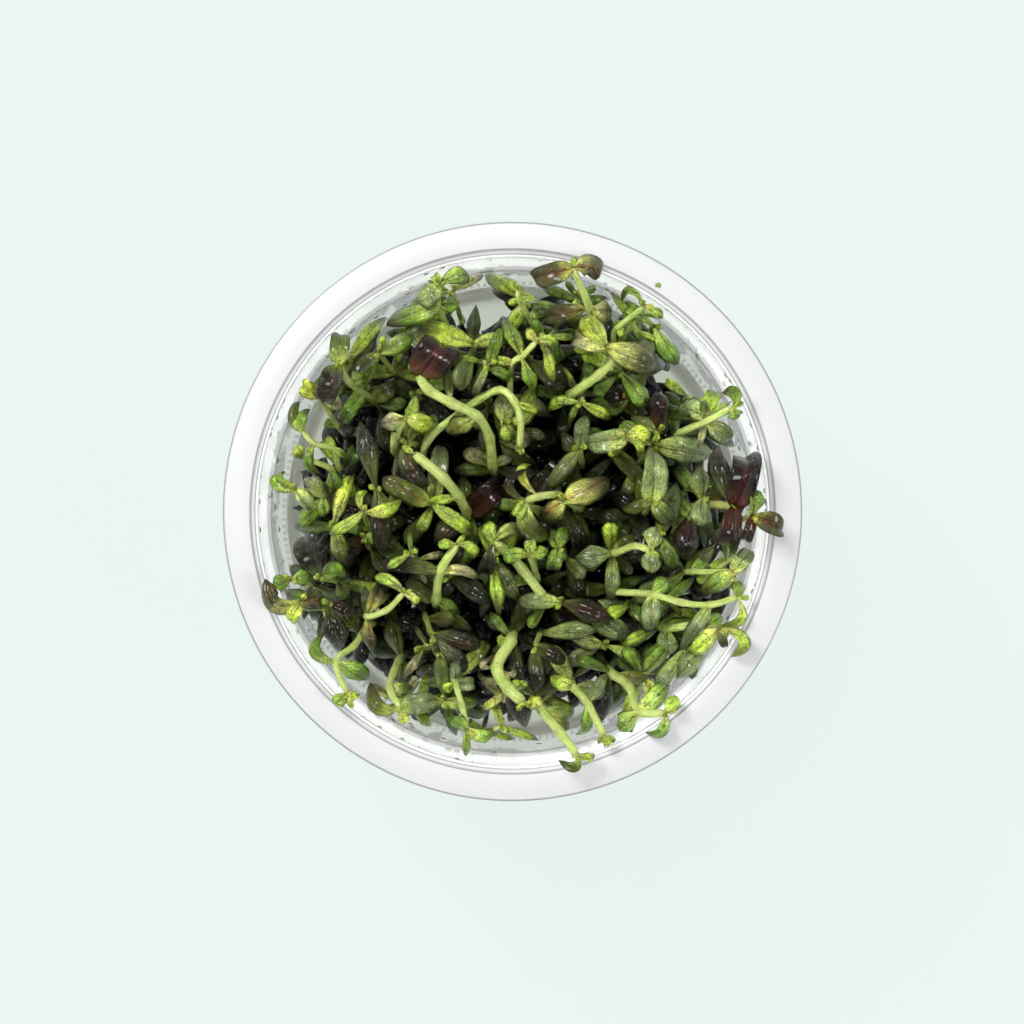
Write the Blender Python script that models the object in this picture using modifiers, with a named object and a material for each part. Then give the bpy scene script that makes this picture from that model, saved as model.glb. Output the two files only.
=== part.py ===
"""Bacopa salzmannii shoots crowded in a round open culture cup, rooted in a layer of gel.

The origin is on the underside of the cup, at its centre, +Z up. The layout rows are in millimetres and
everything built from them is in metres.
"""

import math

import bmesh
import bpy
from mathutils import Matrix, Vector
from mathutils.bvhtree import BVHTree

MM = 0.001

# Cup: a clear cup with a flat flange, a seat for a lid, a step in its wall and a slight taper.
CUP_HEIGHT = 50 * MM
FLANGE_RADIUS = 40 * MM
FLANGE_WIDTH = 3.9 * MM
FLANGE_THICKNESS = 0.9 * MM
SKIRT_DEPTH = 2.0 * MM
SEAT_DROP = 0.6 * MM
MOUTH_RADIUS = 35.2 * MM
STEP_HEIGHT = 40 * MM
STEP_RADIUS = 33.6 * MM
FLOOR_RADIUS = 32.2 * MM
FLOOR_THICKNESS = 1.2 * MM
WALL = 0.9 * MM
CORNER = 1.6 * MM
CUP_STEPS = 36

# Gel: a disc that fills the bottom of the cup, with a low rim where it wets the wall.
GEL_TOP = 15 * MM
MENISCUS = 0.7 * MM
GAP = 0.3 * MM
GEL_STEPS = 24

# Shoots: a stem with leaves in opposite pairs.
LEAF_THICKNESS = 0.75 * MM
LEAF_ARCH = 0.16
LEAF_STATIONS = ((0.0, 0.32), (0.38, 1.0), (0.76, 0.78))
SHORT_STATIONS = ((0.0, 0.4), (0.5, 1.0))
SHORT_LEAF = 5.6 * MM
STEM_TAPER = 0.8
THICK_STEM = 1.35
ROOT_HEIGHT = GEL_TOP + GAP

# How far a leaf may be moved from its row before it clears what was placed before it.
LEAF_LENGTHS = (1.0, 0.88, 0.75, 0.6)
LEAF_LIFTS = (0.0, 1.0, -1.0, 2.2, -2.2, 3.6, -3.6, 5.2, -5.2)
LEAF_TURNS = (0, 7, -7, 15, -15, 25, -25)
ROOT_SHIFTS = (0.0, 1.2, 2.4, 3.6, 4.8, 6.0, 7.5)
ROOT_DIRECTIONS = 10
LOWER_SHIFT = 0.35
STEM_LIFTS = (0.0, -1.4, 1.4, -2.8, 2.8, -4.5, 4.5, -6.5)

COLOURS = {
    "bright": (0.36, 0.52, 0.03),
    "green": (0.11, 0.24, 0.03),
    "olive": (0.09, 0.12, 0.03),
    "dark": (0.05, 0.045, 0.04),
    "silver": (0.22, 0.30, 0.18),
    "maroon": (0.10, 0.02, 0.025),
}

# A row is a shoot: its stem's width, its colour, its stem from root to tip as (x, y, z), and its leaves.
# A leaf is the number of its stem point, its tip (x, y, z), its width, its tone, and the sideways bow (x, y).
SHOOTS = (
    (1.1, "olive", ((-16, 8), (-20, 14.5, 36), (-22.5, 17.8, 45.5), (-24, 20.2, 48.5)),
     ((3, -24.4, 24.9, 49, 2.5, "o"), (3, -26.1, 14.7, 49, 2.9, "d"),
      (2, -20.3, 18.8, 45, 2.3, "g"), (1, -16, 18, 37, 2.4, "o"))),
    (0.9, "bright", ((-20, 6.5), (-24.5, 12, 36), (-26.9, 15.9, 46)),
     ((2, -30.2, 18.3, 48, 2.2, "b"), (2, -22.1, 14.2, 45.5, 2.0, "p"),
      (1, -27.4, 12.8, 38, 1.3, "b"), (1, -22, 11, 38, 2.6, "d"))),
    (0.9, "bright", ((-21, 2.5), (-24.3, 6.2, 40), (-24.9, 8.7, 45), (-27.5, 9.4, 46.5), (-29.1, 11.2, 47.5)),
     ((4, -27.8, 15.2, 48, 1.5, "g", -0.9, -0.3), (4, -29.5, 15.3, 47.5, 1.3, "o", -1.2, -0.4),
      (3, -26.2, 2.9, 46, 1.4, "g", -1.9, 0.8), (2, -23.2, 7.7, 45.5, 0.9, "b"))),
    (1.0, "green", ((-18, 3), (-22.6, 4.6, 34), (-25.4, 6, 41.5), (-28.8, 7.4, 44.5)),
     ((3, -30.5, 9.6, 46, 1.1, "b"), (2, -24.6, 2.2, 42, 2.4, "g"), (1, -19.4, 6.4, 38, 2.8, "d"),
      (1, -20.8, 0.8, 36, 2.6, "o"))),
    (1.0, "green", ((-23, -1), (-26.5, 2.2, 40), (-30, 3.1, 48)),
     ((2, -32.3, 6.5, 50, 2.1, "g", -1.4, -0.7), (2, -27.6, -0.3, 48, 2.2, "s"),
      (1, -28.9, 5.6, 43.5, 2.0, "p"), (1, -26.0, -2, 40, 1.9, "g"))),
    (1.2, "dark", ((-15, -1), (-17.5, 1, 34), (-19, 3.1, 43.5)),
     ((2, -21.6, 13.8, 45.5, 2.9, "d"), (2, -17.9, -7, 43, 2.5, "d"), (1, -13.6, 4.4, 37, 2.2, "o"))),
    (1.0, "bright", ((-19, -5), (-20, -2.5, 36), (-20.7, 0, 46)),
     ((2, -26.8, -4.3, 47, 1.7, "b"), (2, -19.8, 3.8, 48, 1.1, "b", -1.1, 0),
      (2, -15.2, 1.9, 47.4, 2.0, "b", 0, -1.0), (1, -24, -2.5, 38, 1.9, "g"))),
    (1.0, "dark", ((-23, -11), (-24.6, -9.8, 36), (-26.7, -9.2, 44.5)),
     ((2, -29.7, -2.2, 46.5, 3.1, "d"), (2, -23, -9.3, 45.5, 2.4, "g", 0, 1.0), (1, -22.6, -13, 37, 2.4, "o"))),
    (1.0, "dark", ((-18, -8), (-20.1, -5, 34), (-20.8, -3.8, 40)),
     ((2, -26.3, -6.9, 41.5, 3.4, "k"), (2, -16.4, -3.6, 39.5, 2.0, "g"), (1, -17, -9.6, 36, 2.3, "o"))),
    (0.8, "green", ((-26.5, -11), (-28.6, -10.2, 40), (-30.5, -9.3, 50.5)),
     ((2, -33.4, -10.6, 52.5, 2.3, "g"), (2, -27.3, -8.5, 50.8, 2.3, "g"))),
    (0.9, "bright", ((-23.5, -15.5), (-26.8, -13.4, 40), (-29, -12.3, 51)),
     ((2, -34, -9.2, 54, 2.3, "r", -1.4, -2.4), (2, -25.8, -12.2, 51.8, 2.6, "r"),
      (2, -30.9, -15.6, 52.6, 1.8, "b"))),
    (1.0, "dark", ((-19.5, -12), (-22.8, -11.8, 34), (-25.6, -12.8, 43)),
     ((2, -24.1, -19.9, 44, 3.5, "d"), (2, -21.2, -14.6, 42.5, 2.2, "k"), (1, -21.6, -17.2, 38, 2.3, "o"))),
    (1.1, "green", ((-17, -14.5), (-20.5, -16.3, 38), (-22, -18.6, 46), (-24.4, -20.8, 49.5), (-22.8, -25, 51)),
     ((3, -26, -15.8, 50.5, 1.6, "g", -2.6, -1.0), (3, -19.2, -23.7, 48, 2.8, "g"),
      (4, -25.3, -27.2, 53.6, 1.9, "b"), (4, -21, -25.4, 52, 1.4, "b"))),
    (1.3, "green", ((-13, -18), (-16, -21, 36), (-17, -24.5, 45), (-15.4, -27.1, 48.5)),
     ((3, -20.1, -23.4, 48, 2.0, "o", -1.2, -2.0), (3, -10.1, -25.9, 48.5, 2.7, "s"),
      (3, -14.6, -30.4, 50, 1.5, "b"), (2, -13.4, -24.6, 44, 1.6, "o"))),
    (1.0, "bright", ((-15.5, -10), (-18.5, -12.5, 34), (-20.3, -14.6, 42.5), (-17.5, -13.7, 44.5), (-15.1, -11.3, 47)),
     ((2, -19.5, -20.1, 43.5, 2.1, "r"), (2, -18.1, -9.4, 42.5, 2.1, "r"),
      (4, -20.7, -8.4, 48.5, 1.6, "b", 0.6, 0.9), (4, -13.3, -13.8, 47.5, 1.2, "b", 1.0, 0.5))),
    (1.7, "bright", ((-4, -5), (-6.2, -0.6, 36), (-7.6, 2.2, 40.5), (-9.6, 4.6, 43.5), (-13.6, 8, 45.5)),
     ((1, -11.7, -5.2, 38, 3.3, "r"), (1, -0.3, 4.7, 39, 3.5, "m"), (2, -12.6, 1.2, 41, 1.5, "b"))),
    (1.5, "bright", ((-11, -15), (-10.7, -12.5, 36), (-10.1, -8.4, 41.5), (-7.8, -4.6, 44)),
     ((2, -20.2, -7.4, 42.8, 2.0, "d", 0, 0.7), (2, -4.4, -9.8, 42, 1.6, "p", 0, 1.0),
      (3, -5.4, -8.2, 44, 1.6, "b", 1.2, 1.4), (3, -10.9, -4.4, 45, 1.4, "b"), (1, -7, -14.6, 37, 2.0, "g"))),
    (1.2, "bright", ((6, -3), (7, 0.8, 36), (6.2, 2.3, 43), (3.8, 2.1, 44.4), (1.8, 1.5, 44.8)),
     ((4, 2.4, 6.1, 47, 1.3, "d", -3.2, 0), (4, -0.2, -1.8, 45.5, 1.5, "b"),
      (4, 5.6, -3.1, 44, 2.5, "o", -1.6, -2.0), (3, 2.1, 9.1, 43.5, 1.4, "b", -2.2, -0.4))),
    (1.1, "bright", ((4, -12), (3.4, -9.2, 36), (2.4, -6.1, 44)),
     ((2, 2.6, -3.4, 45.5, 1.6, "b"), (2, -3, -7.9, 44.6, 2.1, "g", -0.2, 1.2), (2, 5.6, -5.4, 44.6, 1.9, "b"),
      (1, -1.8, -10.2, 38, 1.5, "g"))),
    (1.6, "bright", ((6.5, -15), (4.4, -12, 38.5), (1.4, -8.1, 41), (-0.6, -5.8, 42), (-2.6, -4.2, 43.5)),
     ((4, -4, -0.5, 45, 2.0, "b"), (4, 1.6, -3.9, 44, 1.6, "o", 0.4, 2.0), (4, -4.3, -9.8, 41.5, 2.1, "d"))),
    (0.9, "green", ((9, -8), (7.4, -6.5, 36), (6.4, -5.2, 42.5)),
     ((2, 7.6, -1.8, 43, 2.1, "g"), (2, 5.3, -8.6, 43, 1.9, "g"), (1, 10.4, -9.8, 39, 2.2, "s"))),
    (1.1, "green", ((-7, 20), (-8.8, 25, 36), (-10.3, 28.6, 47), (-10, 31.2, 50)),
     ((3, -4, 31.7, 51, 2.4, "g", -0.4, 1.4), (3, -13, 28.6, 49.5, 2.8, "s"),
      (3, -10.9, 32.7, 51, 1.2, "b"), (2, -6, 28.9, 46.5, 2.4, "g"), (2, -18.2, 25.9, 47, 2.7, "g"))),
    (0.9, "green", ((-13, 16.5), (-17, 20, 36), (-18.6, 22, 42.5)),
     ((2, -12.5, 25.3, 43.5, 2.5, "g"), (2, -21.4, 19.6, 42.5, 2.0, "o"), (2, -17.4, 25.6, 45, 0.9, "b"),
      (1, -13.8, 21.8, 37, 2.2, "o"))),
    (1.4, "bright", ((-13.5, 4.5), (-16.5, 8.6, 38), (-16.3, 10.8, 41.5), (-15, 13, 44)),
     ((3, -18.9, 12.1, 44.5, 2.8, "p"), (3, -10.4, 12.4, 44, 3.0, "y"))),
    (1.0, "dark", ((-11, 8.5), (-13.4, 9.4, 35), (-14.6, 9.6, 40)),
     ((2, -11.4, 3.2, 41.5, 2.7, "d", -1.6, -0.4), (2, -12.4, 14.6, 39.5, 2.0, "o"))),
    (1.6, "bright", ((-1.5, 3), (-2.8, 6.5, 36), (-3.3, 10.4, 41), (-4.9, 13.2, 44.5), (-8.4, 15, 46.5),
                     (-11.6, 16.8, 47.5), (-13, 18.8, 48)),
     ((6, -8.2, 24.8, 49.5, 5.0, "m"), (4, -9.2, 21.6, 45, 1.3, "o"), (3, -9.8, 10.4, 43, 2.7, "o"),
      (1, -8.3, 9.5, 38, 2.3, "p"), (1, 0.6, 8, 37.5, 1.4, "p"))),
    (0.9, "bright", ((3, 21), (3.4, 24.9, 38), (2.1, 27.4, 42), (0.9, 29.4, 44), (0.8, 30.8, 45)),
     ((3, -1.1, 29.1, 44.3, 1.0, "b"), (3, 3.6, 29.7, 44.3, 1.0, "b"), (1, -0.6, 25, 38, 2.4, "d"),
      (2, 5.2, 28.4, 41, 2.0, "o"))),
    (1.3, "green", ((9, 20), (10.9, 24.5, 38), (10.6, 28.2, 47), (8.2, 33.6, 51.5)),
     ((3, 2.6, 32.1, 51, 2.9, "r"), (3, 12.4, 31.4, 51, 2.9, "r", 0.6, 1.2),
      (2, 3.2, 26.7, 46.5, 2.4, "r"), (2, 14.7, 27.4, 47, 4.0, "r"))),
    (1.5, "bright", ((6, 14), (8.2, 16.4, 38), (12, 19, 44.5), (14, 21.4, 46.5), (13, 22.8, 48)),
     ((4, 8.9, 28, 50.5, 3.1, "y"), (4, 7.4, 24.6, 49, 2.9, "p"), (4, 21.7, 19.4, 48.5, 3.8, "r"),
      (1, 4.6, 13.7, 38, 1.9, "b"))),
    (1.0, "bright", ((-1, 13.5), (-0.4, 17, 38), (0, 20.7, 44), (1.3, 21.5, 45), (3.4, 23.7, 46.5)),
     ((3, -1.4, 27.6, 46.5, 2.1, "g"), (3, 3.4, 15.6, 46, 2.1, "g"), (2, -2.8, 21.3, 45, 1.2, "b"),
      (4, 1.2, 25.6, 47, 1.4, "b"), (4, 6, 22.3, 47, 1.3, "b", 0.8, 0.8))),
    (1.1, "dark", ((2.5, 16.5), (2.4, 19, 34), (2.2, 21.4, 38)),
     ((2, 8.2, 16.9, 40, 2.9, "d"), (2, -3.6, 24.2, 37.5, 3.0, "d"), (1, -4.3, 19.8, 34, 3.0, "k"))),
    (1.2, "bright", ((-13.5, 1.5), (-12.8, 6.5, 34), (-11.7, 10.2, 39), (-7.3, 13.8, 41.3), (-4.6, 15.7, 42.2),
                     (-1.7, 16.9, 44.5), (0.2, 15.4, 45), (1.1, 12.6, 43.5), (1, 8.9, 41)),
     ((6, 3.3, 15.7, 43, 1.3, "b", 1.4, -1.5), (7, -0.5, 12.9, 43.5, 1.3, "y"))),
    (1.0, "olive", ((-1, 6.5), (-1.4, 10, 35), (-1.1, 12.3, 40.5)),
     ((2, -1.5, 16.9, 40.5, 2.8, "s"), (2, 0.2, 9.7, 40.5, 2.3, "b"), (1, 3.3, 10.2, 37, 2.6, "p"))),
    (0.9, "bright", ((13, 20), (14.1, 23.5, 42), (14.4, 25.3, 46), (18.1, 28.2, 51)),
     ((3, 14.6, 29.1, 51, 1.0, "g", -0.2, 2.2), (3, 17.4, 26.8, 51, 1.1, "g", 3.0, -0.2),
      (3, 21.5, 26.1, 52, 1.0, "b"), (2, 16, 24.4, 46.5, 1.3, "b"))),
    (1.1, "maroon", ((17.5, 9), (19.3, 10, 35), (20.4, 11.2, 41.5)),
     ((2, 21.4, 18.5, 44, 3.0, "m"), (2, 16.4, 13.4, 41, 2.4, "o"), (1, 23.8, 8.4, 37, 2.4, "g"))),
    (1.0, "dark", ((14.5, 12), (15.4, 14.6, 34), (16.2, 16, 38)),
     ((2, 18.7, 19.6, 40, 3.1, "s"), (2, 11.6, 16.6, 38.5, 2.8, "k"), (1, 10.7, 15.2, 35, 2.6, "g"),
      (1, 19.4, 13.8, 36, 2.4, "o"))),
    (1.2, "green", ((19, 6), (22.4, 10.2, 43), (26.6, 12.4, 50.5), (30.3, 14.3, 52.5)),
     ((2, 23, 14, 50.5, 2.5, "s", 0.2, 1.0), (2, 26.6, 15.9, 51, 1.4, "o"), (2, 30.9, 9.3, 51.6, 2.5, "s"),
      (3, 28.8, 16.5, 53.5, 1.7, "g", 1.2, 0.8), (3, 31.1, 12.1, 53.2, 2.1, "g"))),
    (1.0, "bright", ((13, 6), (14.8, 8.6, 38), (15.7, 10.2, 46)),
     ((2, 9.8, 9.5, 46, 2.7, "s"), (2, 19.8, 10.7, 46.5, 2.7, "b"), (2, 17.9, 6.6, 48, 1.3, "b", 0.9, 0.8),
      (1, 13, 7.6, 41, 1.4, "b"))),
    (1.1, "dark", ((17, 4.5), (18.3, 7.4, 36), (19.7, 9.2, 41.5)),
     ((2, 28, 7.7, 44.5, 3.5, "s"), (2, 12.4, 13, 41, 2.6, "g"), (1, 22.7, 6.3, 38.5, 1.3, "b"))),
    (1.3, "maroon", ((24.5, 1), (26.8, 1, 40), (28.5, 0.9, 49.5), (30.5, 0.7, 52)),
     ((3, 28.3, 10, 52.8, 3.0, "d", -1.0, 0), (3, 32.6, 9.2, 53.6, 3.6, "m", 0.6, 0), (3, 29.6, -7, 52.4, 2.7, "m"))),
    (1.0, "bright", ((27, -3), (30.2, -1.8, 42), (32.9, -0.6, 53.4)),
     ((2, 38.3, -3.3, 53, 3.0, "r"), (2, 33.9, 4.4, 54, 2.8, "g"), (2, 31.8, -5.3, 53, 1.5, "m"))),
    (1.0, "green", ((23, 4), (25.2, 3.2, 38), (26.4, 2.1, 46)),
     ((2, 26, 6.8, 48.5, 3.2, "s"), (2, 27.3, -2.8, 47.5, 3.2, "s"), (1, 23.4, 3.4, 42, 1.8, "g"),
      (1, 22.3, 7.2, 36, 2.0, "g"))),
    (1.0, "bright", ((17, -1), (18.6, 0, 38), (19.4, 1.4, 44.5)),
     ((2, 19.5, 9, 47, 3.5, "s"), (2, 22.7, -2.4, 44.5, 2.6, "o"), (2, 15, 0.2, 44, 1.8, "o"),
      (1, 13.2, 3.2, 38, 2.6, "k"))),
    (1.2, "dark", ((22.5, -5), (23, -2.7, 36), (24.9, -0.9, 41.5)),
     ((2, 23.8, -8, 43.5, 3.5, "k"), (2, 22.5, 2.6, 41, 1.9, "g"))),
    (1.2, "bright", ((12, -4), (14.3, -5.8, 40), (17, -4.8, 45), (19.1, -5.4, 46.5)),
     ((3, 20.1, -1.8, 47, 3.0, "s"), (3, 19.1, -9.3, 46.5, 2.6, "s"), (1, 8.6, -6.4, 41, 3.6, "s"),
      (1, 17.6, -2.8, 41, 1.8, "o"))),
    (1.1, "bright", ((13.5, -9), (14.2, -11.2, 38), (19.3, -11.5, 44.5), (23.4, -12.6, 47), (27.2, -12.9, 49.5),
                     (30.9, -11.8, 51.5)),
     ((2, 19.3, -16.8, 45, 2.8, "s"), (2, 22.6, -8.6, 44.5, 2.4, "g"), (4, 23, -19.7, 48.5, 2.2, "s"),
      (5, 28.3, -15.9, 51.5, 1.4, "b", 2.2, -1.2), (5, 31.7, -8.9, 51.8, 1.8, "g"))),
    (1.0, "green", ((22, -8.5), (25, -8.4, 44), (30.3, -8.3, 49.2)),
     ((2, 32.9, -5.3, 50, 2.1, "s"), (2, 26.2, -11.4, 48.5, 2.5, "g"), (1, 27.4, -6.2, 45, 1.6, "g"))),
    (1.3, "bright", ((18.5, -14.5), (21.4, -16.4, 40), (25.2, -15.8, 45), (28.5, -16.2, 51)),
     ((3, 23.5, -20.6, 50, 2.3, "b"), (3, 30.7, -21.4, 54, 1.5, "b", 2.6, 1.2), (3, 29.4, -19.2, 52, 1.2, "r"),
      (1, 21.9, -20.8, 41, 2.7, "s"))),
    (1.4, "green", ((12, -20), (14.2, -22.9, 40), (16.2, -24.3, 45), (17.5, -27.6, 50), (20.9, -27.7, 52)),
     ((3, 13, -31.2, 50, 2.9, "g"), (3, 22.6, -22.8, 49.5, 2.4, "g"), (4, 22.9, -24.8, 52.5, 2.2, "b"),
      (4, 18, -30.7, 53, 1.5, "g", 1.2, -1.0), (1, 19.6, -23.6, 42, 2.2, "o"))),
    (1.5, "bright", ((2.5, -22), (4.1, -27.6, 44), (6.5, -30.4, 49.5), (8.8, -33.4, 52.6)),
     ((1, 1.6, -25.2, 44.5, 2.1, "b"), (1, 8.9, -29.7, 44.5, 2.6, "o"), (3, 6.2, -34.2, 54, 1.3, "o", 1.3, -1.6),
      (3, 12.1, -33.3, 54, 1.4, "b", 0, -0.6))),
    (1.3, "bright", ((7, -20), (8.6, -24.6, 42), (10.4, -26.6, 45.5), (12.6, -30.9, 50)),
     ((2, 8.5, -31.8, 47.5, 1.6, "g", 1.0, -0.4), (1, 13.4, -24.7, 43.5, 2.6, "s"), (1, 5.3, -22.9, 42.5, 2.0, "b"),
      (2, 13.5, -21.9, 47, 1.5, "s"), (3, 14.2, -32.2, 51.5, 1.3, "b"))),
    (1.9, "bright", ((0.5, -14), (-0.3, -18.2, 39.5), (-2.2, -21.7, 43), (-0.6, -24.6, 45.5), (1.5, -26.4, 47)),
     ((2, -2.7, -19.8, 44, 1.0, "p", -2.2, -0.8), (2, 1.3, -20.6, 44, 1.0, "p", 0.6, -1.8),
      (1, -3.1, -17.6, 40.5, 1.7, "b"), (4, 0.3, -28.3, 47.5, 0.9, "b"),
      (3, 2, -30.4, 43, 3.2, "k"))),
    (1.0, "bright", ((-6.5, -19), (-7.9, -24, 41), (-7, -27, 44.5), (-6.3, -30, 47)),
     ((3, -9.3, -28.2, 47.5, 2.1, "g"), (3, -1.2, -30.3, 48, 1.8, "g", 0, -1.1), (3, -6.5, -34.4, 51.5, 1.1, "g"),
      (1, -5, -24, 42, 1.8, "s"), (1, -10.3, -25.4, 41.5, 1.7, "b"), (1, -8.2, -20.4, 41.5, 1.7, "s"))),
    (1.1, "dark", ((10, -2), (8.8, 0.6, 34), (7.3, 1.6, 40)),
     ((2, 14.8, 5.3, 42, 3.5, "r"), (2, 2.4, -1.1, 39.5, 2.9, "r"), (1, 10.6, 0.9, 36, 1.6, "g"))),
    (1.0, "green", ((10, 4.5), (9.8, 6.8, 34), (9.4, 8.7, 40)),
     ((2, 4.6, 3.1, 40.5, 2.3, "s"), (2, 10.1, 14, 42, 2.0, "s"), (1, 6.8, 11.6, 36, 2.4, "o"))),
    (1.0, "dark", ((5.5, -15), (4.2, -17.4, 34), (3.2, -18.9, 39)),
     ((2, 3.3, -25.6, 41, 2.3, "d"), (2, 8.6, -21.5, 40, 2.2, "d"), (1, 12.8, -16.7, 39, 2.7, "s"))),
    (1.0, "dark", ((-13, -13), (-12.2, -15, 34), (-11.3, -17.2, 39.5)),
     ((2, -3, -19.6, 41, 2.7, "d"), (2, -4.2, -23.4, 39, 2.5, "d"), (1, -7.2, -15.2, 39, 2.5, "o"))),
    (1.1, "dark", ((11, -14), (8.8, -13.2, 34), (6.8, -12.7, 39)),
     ((2, 14.6, -15.2, 40.5, 3.3, "d"), (2, 0.2, -12.4, 39, 2.3, "s"), (1, 18.6, -18.8, 38.5, 3.3, "s"),
      (1, 4.8, -18.6, 35, 3.6, "k"))),
)


def clear_scene():
    """Removes what the scene holds."""
    for obj in list(bpy.data.objects):
        bpy.data.objects.remove(obj, do_unlink=True)


def new_collection(name):
    collection = bpy.data.collections.new(name)
    bpy.context.scene.collection.children.link(collection)
    return collection


def material(name, colour, roughness, alpha=1.0):
    """A Principled material in the part's colour."""
    made = bpy.data.materials.new(name)
    made.use_nodes = True
    shader = made.node_tree.nodes["Principled BSDF"]
    shader.inputs["Base Color"].default_value = (*colour, 1.0)
    shader.inputs["Roughness"].default_value = roughness
    shader.inputs["Metallic"].default_value = 0.0
    shader.inputs["Alpha"].default_value = alpha
    made.diffuse_color = (*colour, alpha)
    return made


def turned(name, profile, steps, finish, collection):
    """A solid turned about +Z from a closed profile of (radius, height) points."""
    mesh = bpy.data.meshes.new(name)
    edges = [(i, i + 1) for i in range(len(profile) - 1)]
    mesh.from_pydata([(radius, 0, height) for radius, height in profile], edges, [])
    obj = bpy.data.objects.new(name, mesh)
    collection.objects.link(obj)
    screw = obj.modifiers.new("turn", "SCREW")
    screw.axis = "Z"
    screw.steps = steps
    screw.render_steps = steps
    screw.use_merge_vertices = True
    screw.merge_threshold = 0.00001
    screw.use_smooth_shade = False
    mesh.materials.append(finish)
    return obj


def cup_profile():
    """The cup's outline, down its outer side, across the underside and up the inside."""
    flange_inner = FLANGE_RADIUS - FLANGE_WIDTH
    outer_floor = FLOOR_RADIUS + WALL
    return (
        (flange_inner, CUP_HEIGHT),
        (FLANGE_RADIUS, CUP_HEIGHT),
        (FLANGE_RADIUS, CUP_HEIGHT - SKIRT_DEPTH),
        (FLANGE_RADIUS - FLANGE_THICKNESS, CUP_HEIGHT - SKIRT_DEPTH),
        (FLANGE_RADIUS - FLANGE_THICKNESS, CUP_HEIGHT - FLANGE_THICKNESS),
        (MOUTH_RADIUS + WALL, CUP_HEIGHT - FLANGE_THICKNESS - SEAT_DROP),
        (MOUTH_RADIUS + WALL, STEP_HEIGHT),
        (STEP_RADIUS + WALL, STEP_HEIGHT - WALL),
        (outer_floor, CORNER),
        (outer_floor - CORNER, 0),
        (0, 0),
        (0, FLOOR_THICKNESS),
        (FLOOR_RADIUS - CORNER, FLOOR_THICKNESS),
        (FLOOR_RADIUS, FLOOR_THICKNESS + CORNER),
        (STEP_RADIUS, STEP_HEIGHT),
        (MOUTH_RADIUS, STEP_HEIGHT + WALL),
        (MOUTH_RADIUS, CUP_HEIGHT - SEAT_DROP),
        (flange_inner, CUP_HEIGHT - SEAT_DROP),
        (flange_inner, CUP_HEIGHT),
    )


def wall_radius(height):
    """The cup's inner radius at a height below its step."""
    low = FLOOR_THICKNESS + CORNER
    share = (height - low) / (STEP_HEIGHT - low)
    return FLOOR_RADIUS + share * (STEP_RADIUS - FLOOR_RADIUS)


def gel_profile():
    """The gel's outline, from its middle out over the wetted rim and down to the cup's floor."""
    top = wall_radius(GEL_TOP) - GAP
    foot = FLOOR_THICKNESS + GAP
    return (
        (0, GEL_TOP),
        (top - 2 * MENISCUS, GEL_TOP),
        (top, GEL_TOP + MENISCUS),
        (FLOOR_RADIUS - GAP, foot + CORNER),
        (FLOOR_RADIUS - CORNER - GAP, foot),
        (0, foot),
    )


def stem_line(row_points, root_shift, lift):
    """A stem's nodes in metres and its line: the root moves by the shift, and the rest by the lift."""
    points = [Vector((*row_points[0], ROOT_HEIGHT / MM)) * MM]
    points[0] += Vector((*root_shift, 0)) * MM
    for number, point in enumerate(row_points[1:]):
        fade = LOWER_SHIFT if number == 0 else 0.0
        points.append((Vector(point) + Vector((*root_shift, 0)) * fade + Vector((0, 0, lift))) * MM)
    line = []
    for number, point in enumerate(points):
        line.append(point)
        if number == 0:
            knee = point.lerp(points[1], 0.5)
            knee.x = 0.35 * point.x + 0.65 * points[1].x
            knee.y = 0.35 * point.y + 0.65 * points[1].y
            line.append(knee)
    return points, line


def tube(line, radius, sides=5):
    """The faces of a plain tube along a line, as points and polygons."""
    points = []
    faces = []
    last = len(line) - 1
    for number, centre in enumerate(line):
        ahead = line[min(number + 1, last)] - line[max(number - 1, 0)]
        across = ahead.orthogonal().normalized()
        turn = Matrix.Rotation(2 * math.pi / sides, 3, ahead.normalized())
        for _ in range(sides):
            points.append(centre + across * radius)
            across = turn @ across
    for ring in range(last):
        low = ring * sides
        for side in range(sides):
            after = (side + 1) % sides
            faces.append((low + side, low + after, low + sides + after, low + sides + side))
    return points, faces


def leaf_shape(base, leaf, grow=0.0, length=1.0, lift=0.0, turn=0.0):
    """A leaf's points and faces: a keeled blade along an arch from its base to its tip."""
    tip = Vector(leaf[1:4]) * MM
    bow = Vector((*leaf[6:8], 0.0)) * MM if len(leaf) > 6 else Vector((0, 0, 0))
    spin = Matrix.Rotation(math.radians(turn), 3, "Z")
    reach = spin @ (tip - base) * length
    reach.z += lift * MM
    middle = reach / 2 + spin @ bow * length * 1.6
    middle.z += LEAF_ARCH * reach.length * 2
    half_width = leaf[4] * MM / 2 * (0.5 + 0.5 * length)
    stations = SHORT_STATIONS if (tip - base).length < SHORT_LEAF else LEAF_STATIONS
    points = []
    faces = []
    for share, width in stations:
        centre = base + middle * (2 * share * (1 - share)) + reach * share * share
        ahead = middle * (2 * (1 - 2 * share)) + reach * 2 * share
        side = ahead.cross(Vector((0, 0, 1)))
        if side.length < 1e-6:
            side = Vector((1, 0, 0))
        side.normalize()
        up = side.cross(ahead).normalized()
        edge = side * (half_width * width + grow)
        points += [centre - edge + up * grow, centre + edge + up * grow, centre - up * (LEAF_THICKNESS * 0.8 + grow)]
    points.append(base + reach + (reach.normalized() * grow))
    faces.append((0, 1, 2))
    for ring in range(len(stations) - 1):
        low = ring * 3
        for side in range(3):
            after = (side + 1) % 3
            faces.append((low + side, low + 3 + side, low + 3 + after, low + after))
    low = 3 * (len(stations) - 1)
    for side in range(3):
        faces.append((low + side, len(points) - 1, low + (side + 1) % 3))
    return points, faces


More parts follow.
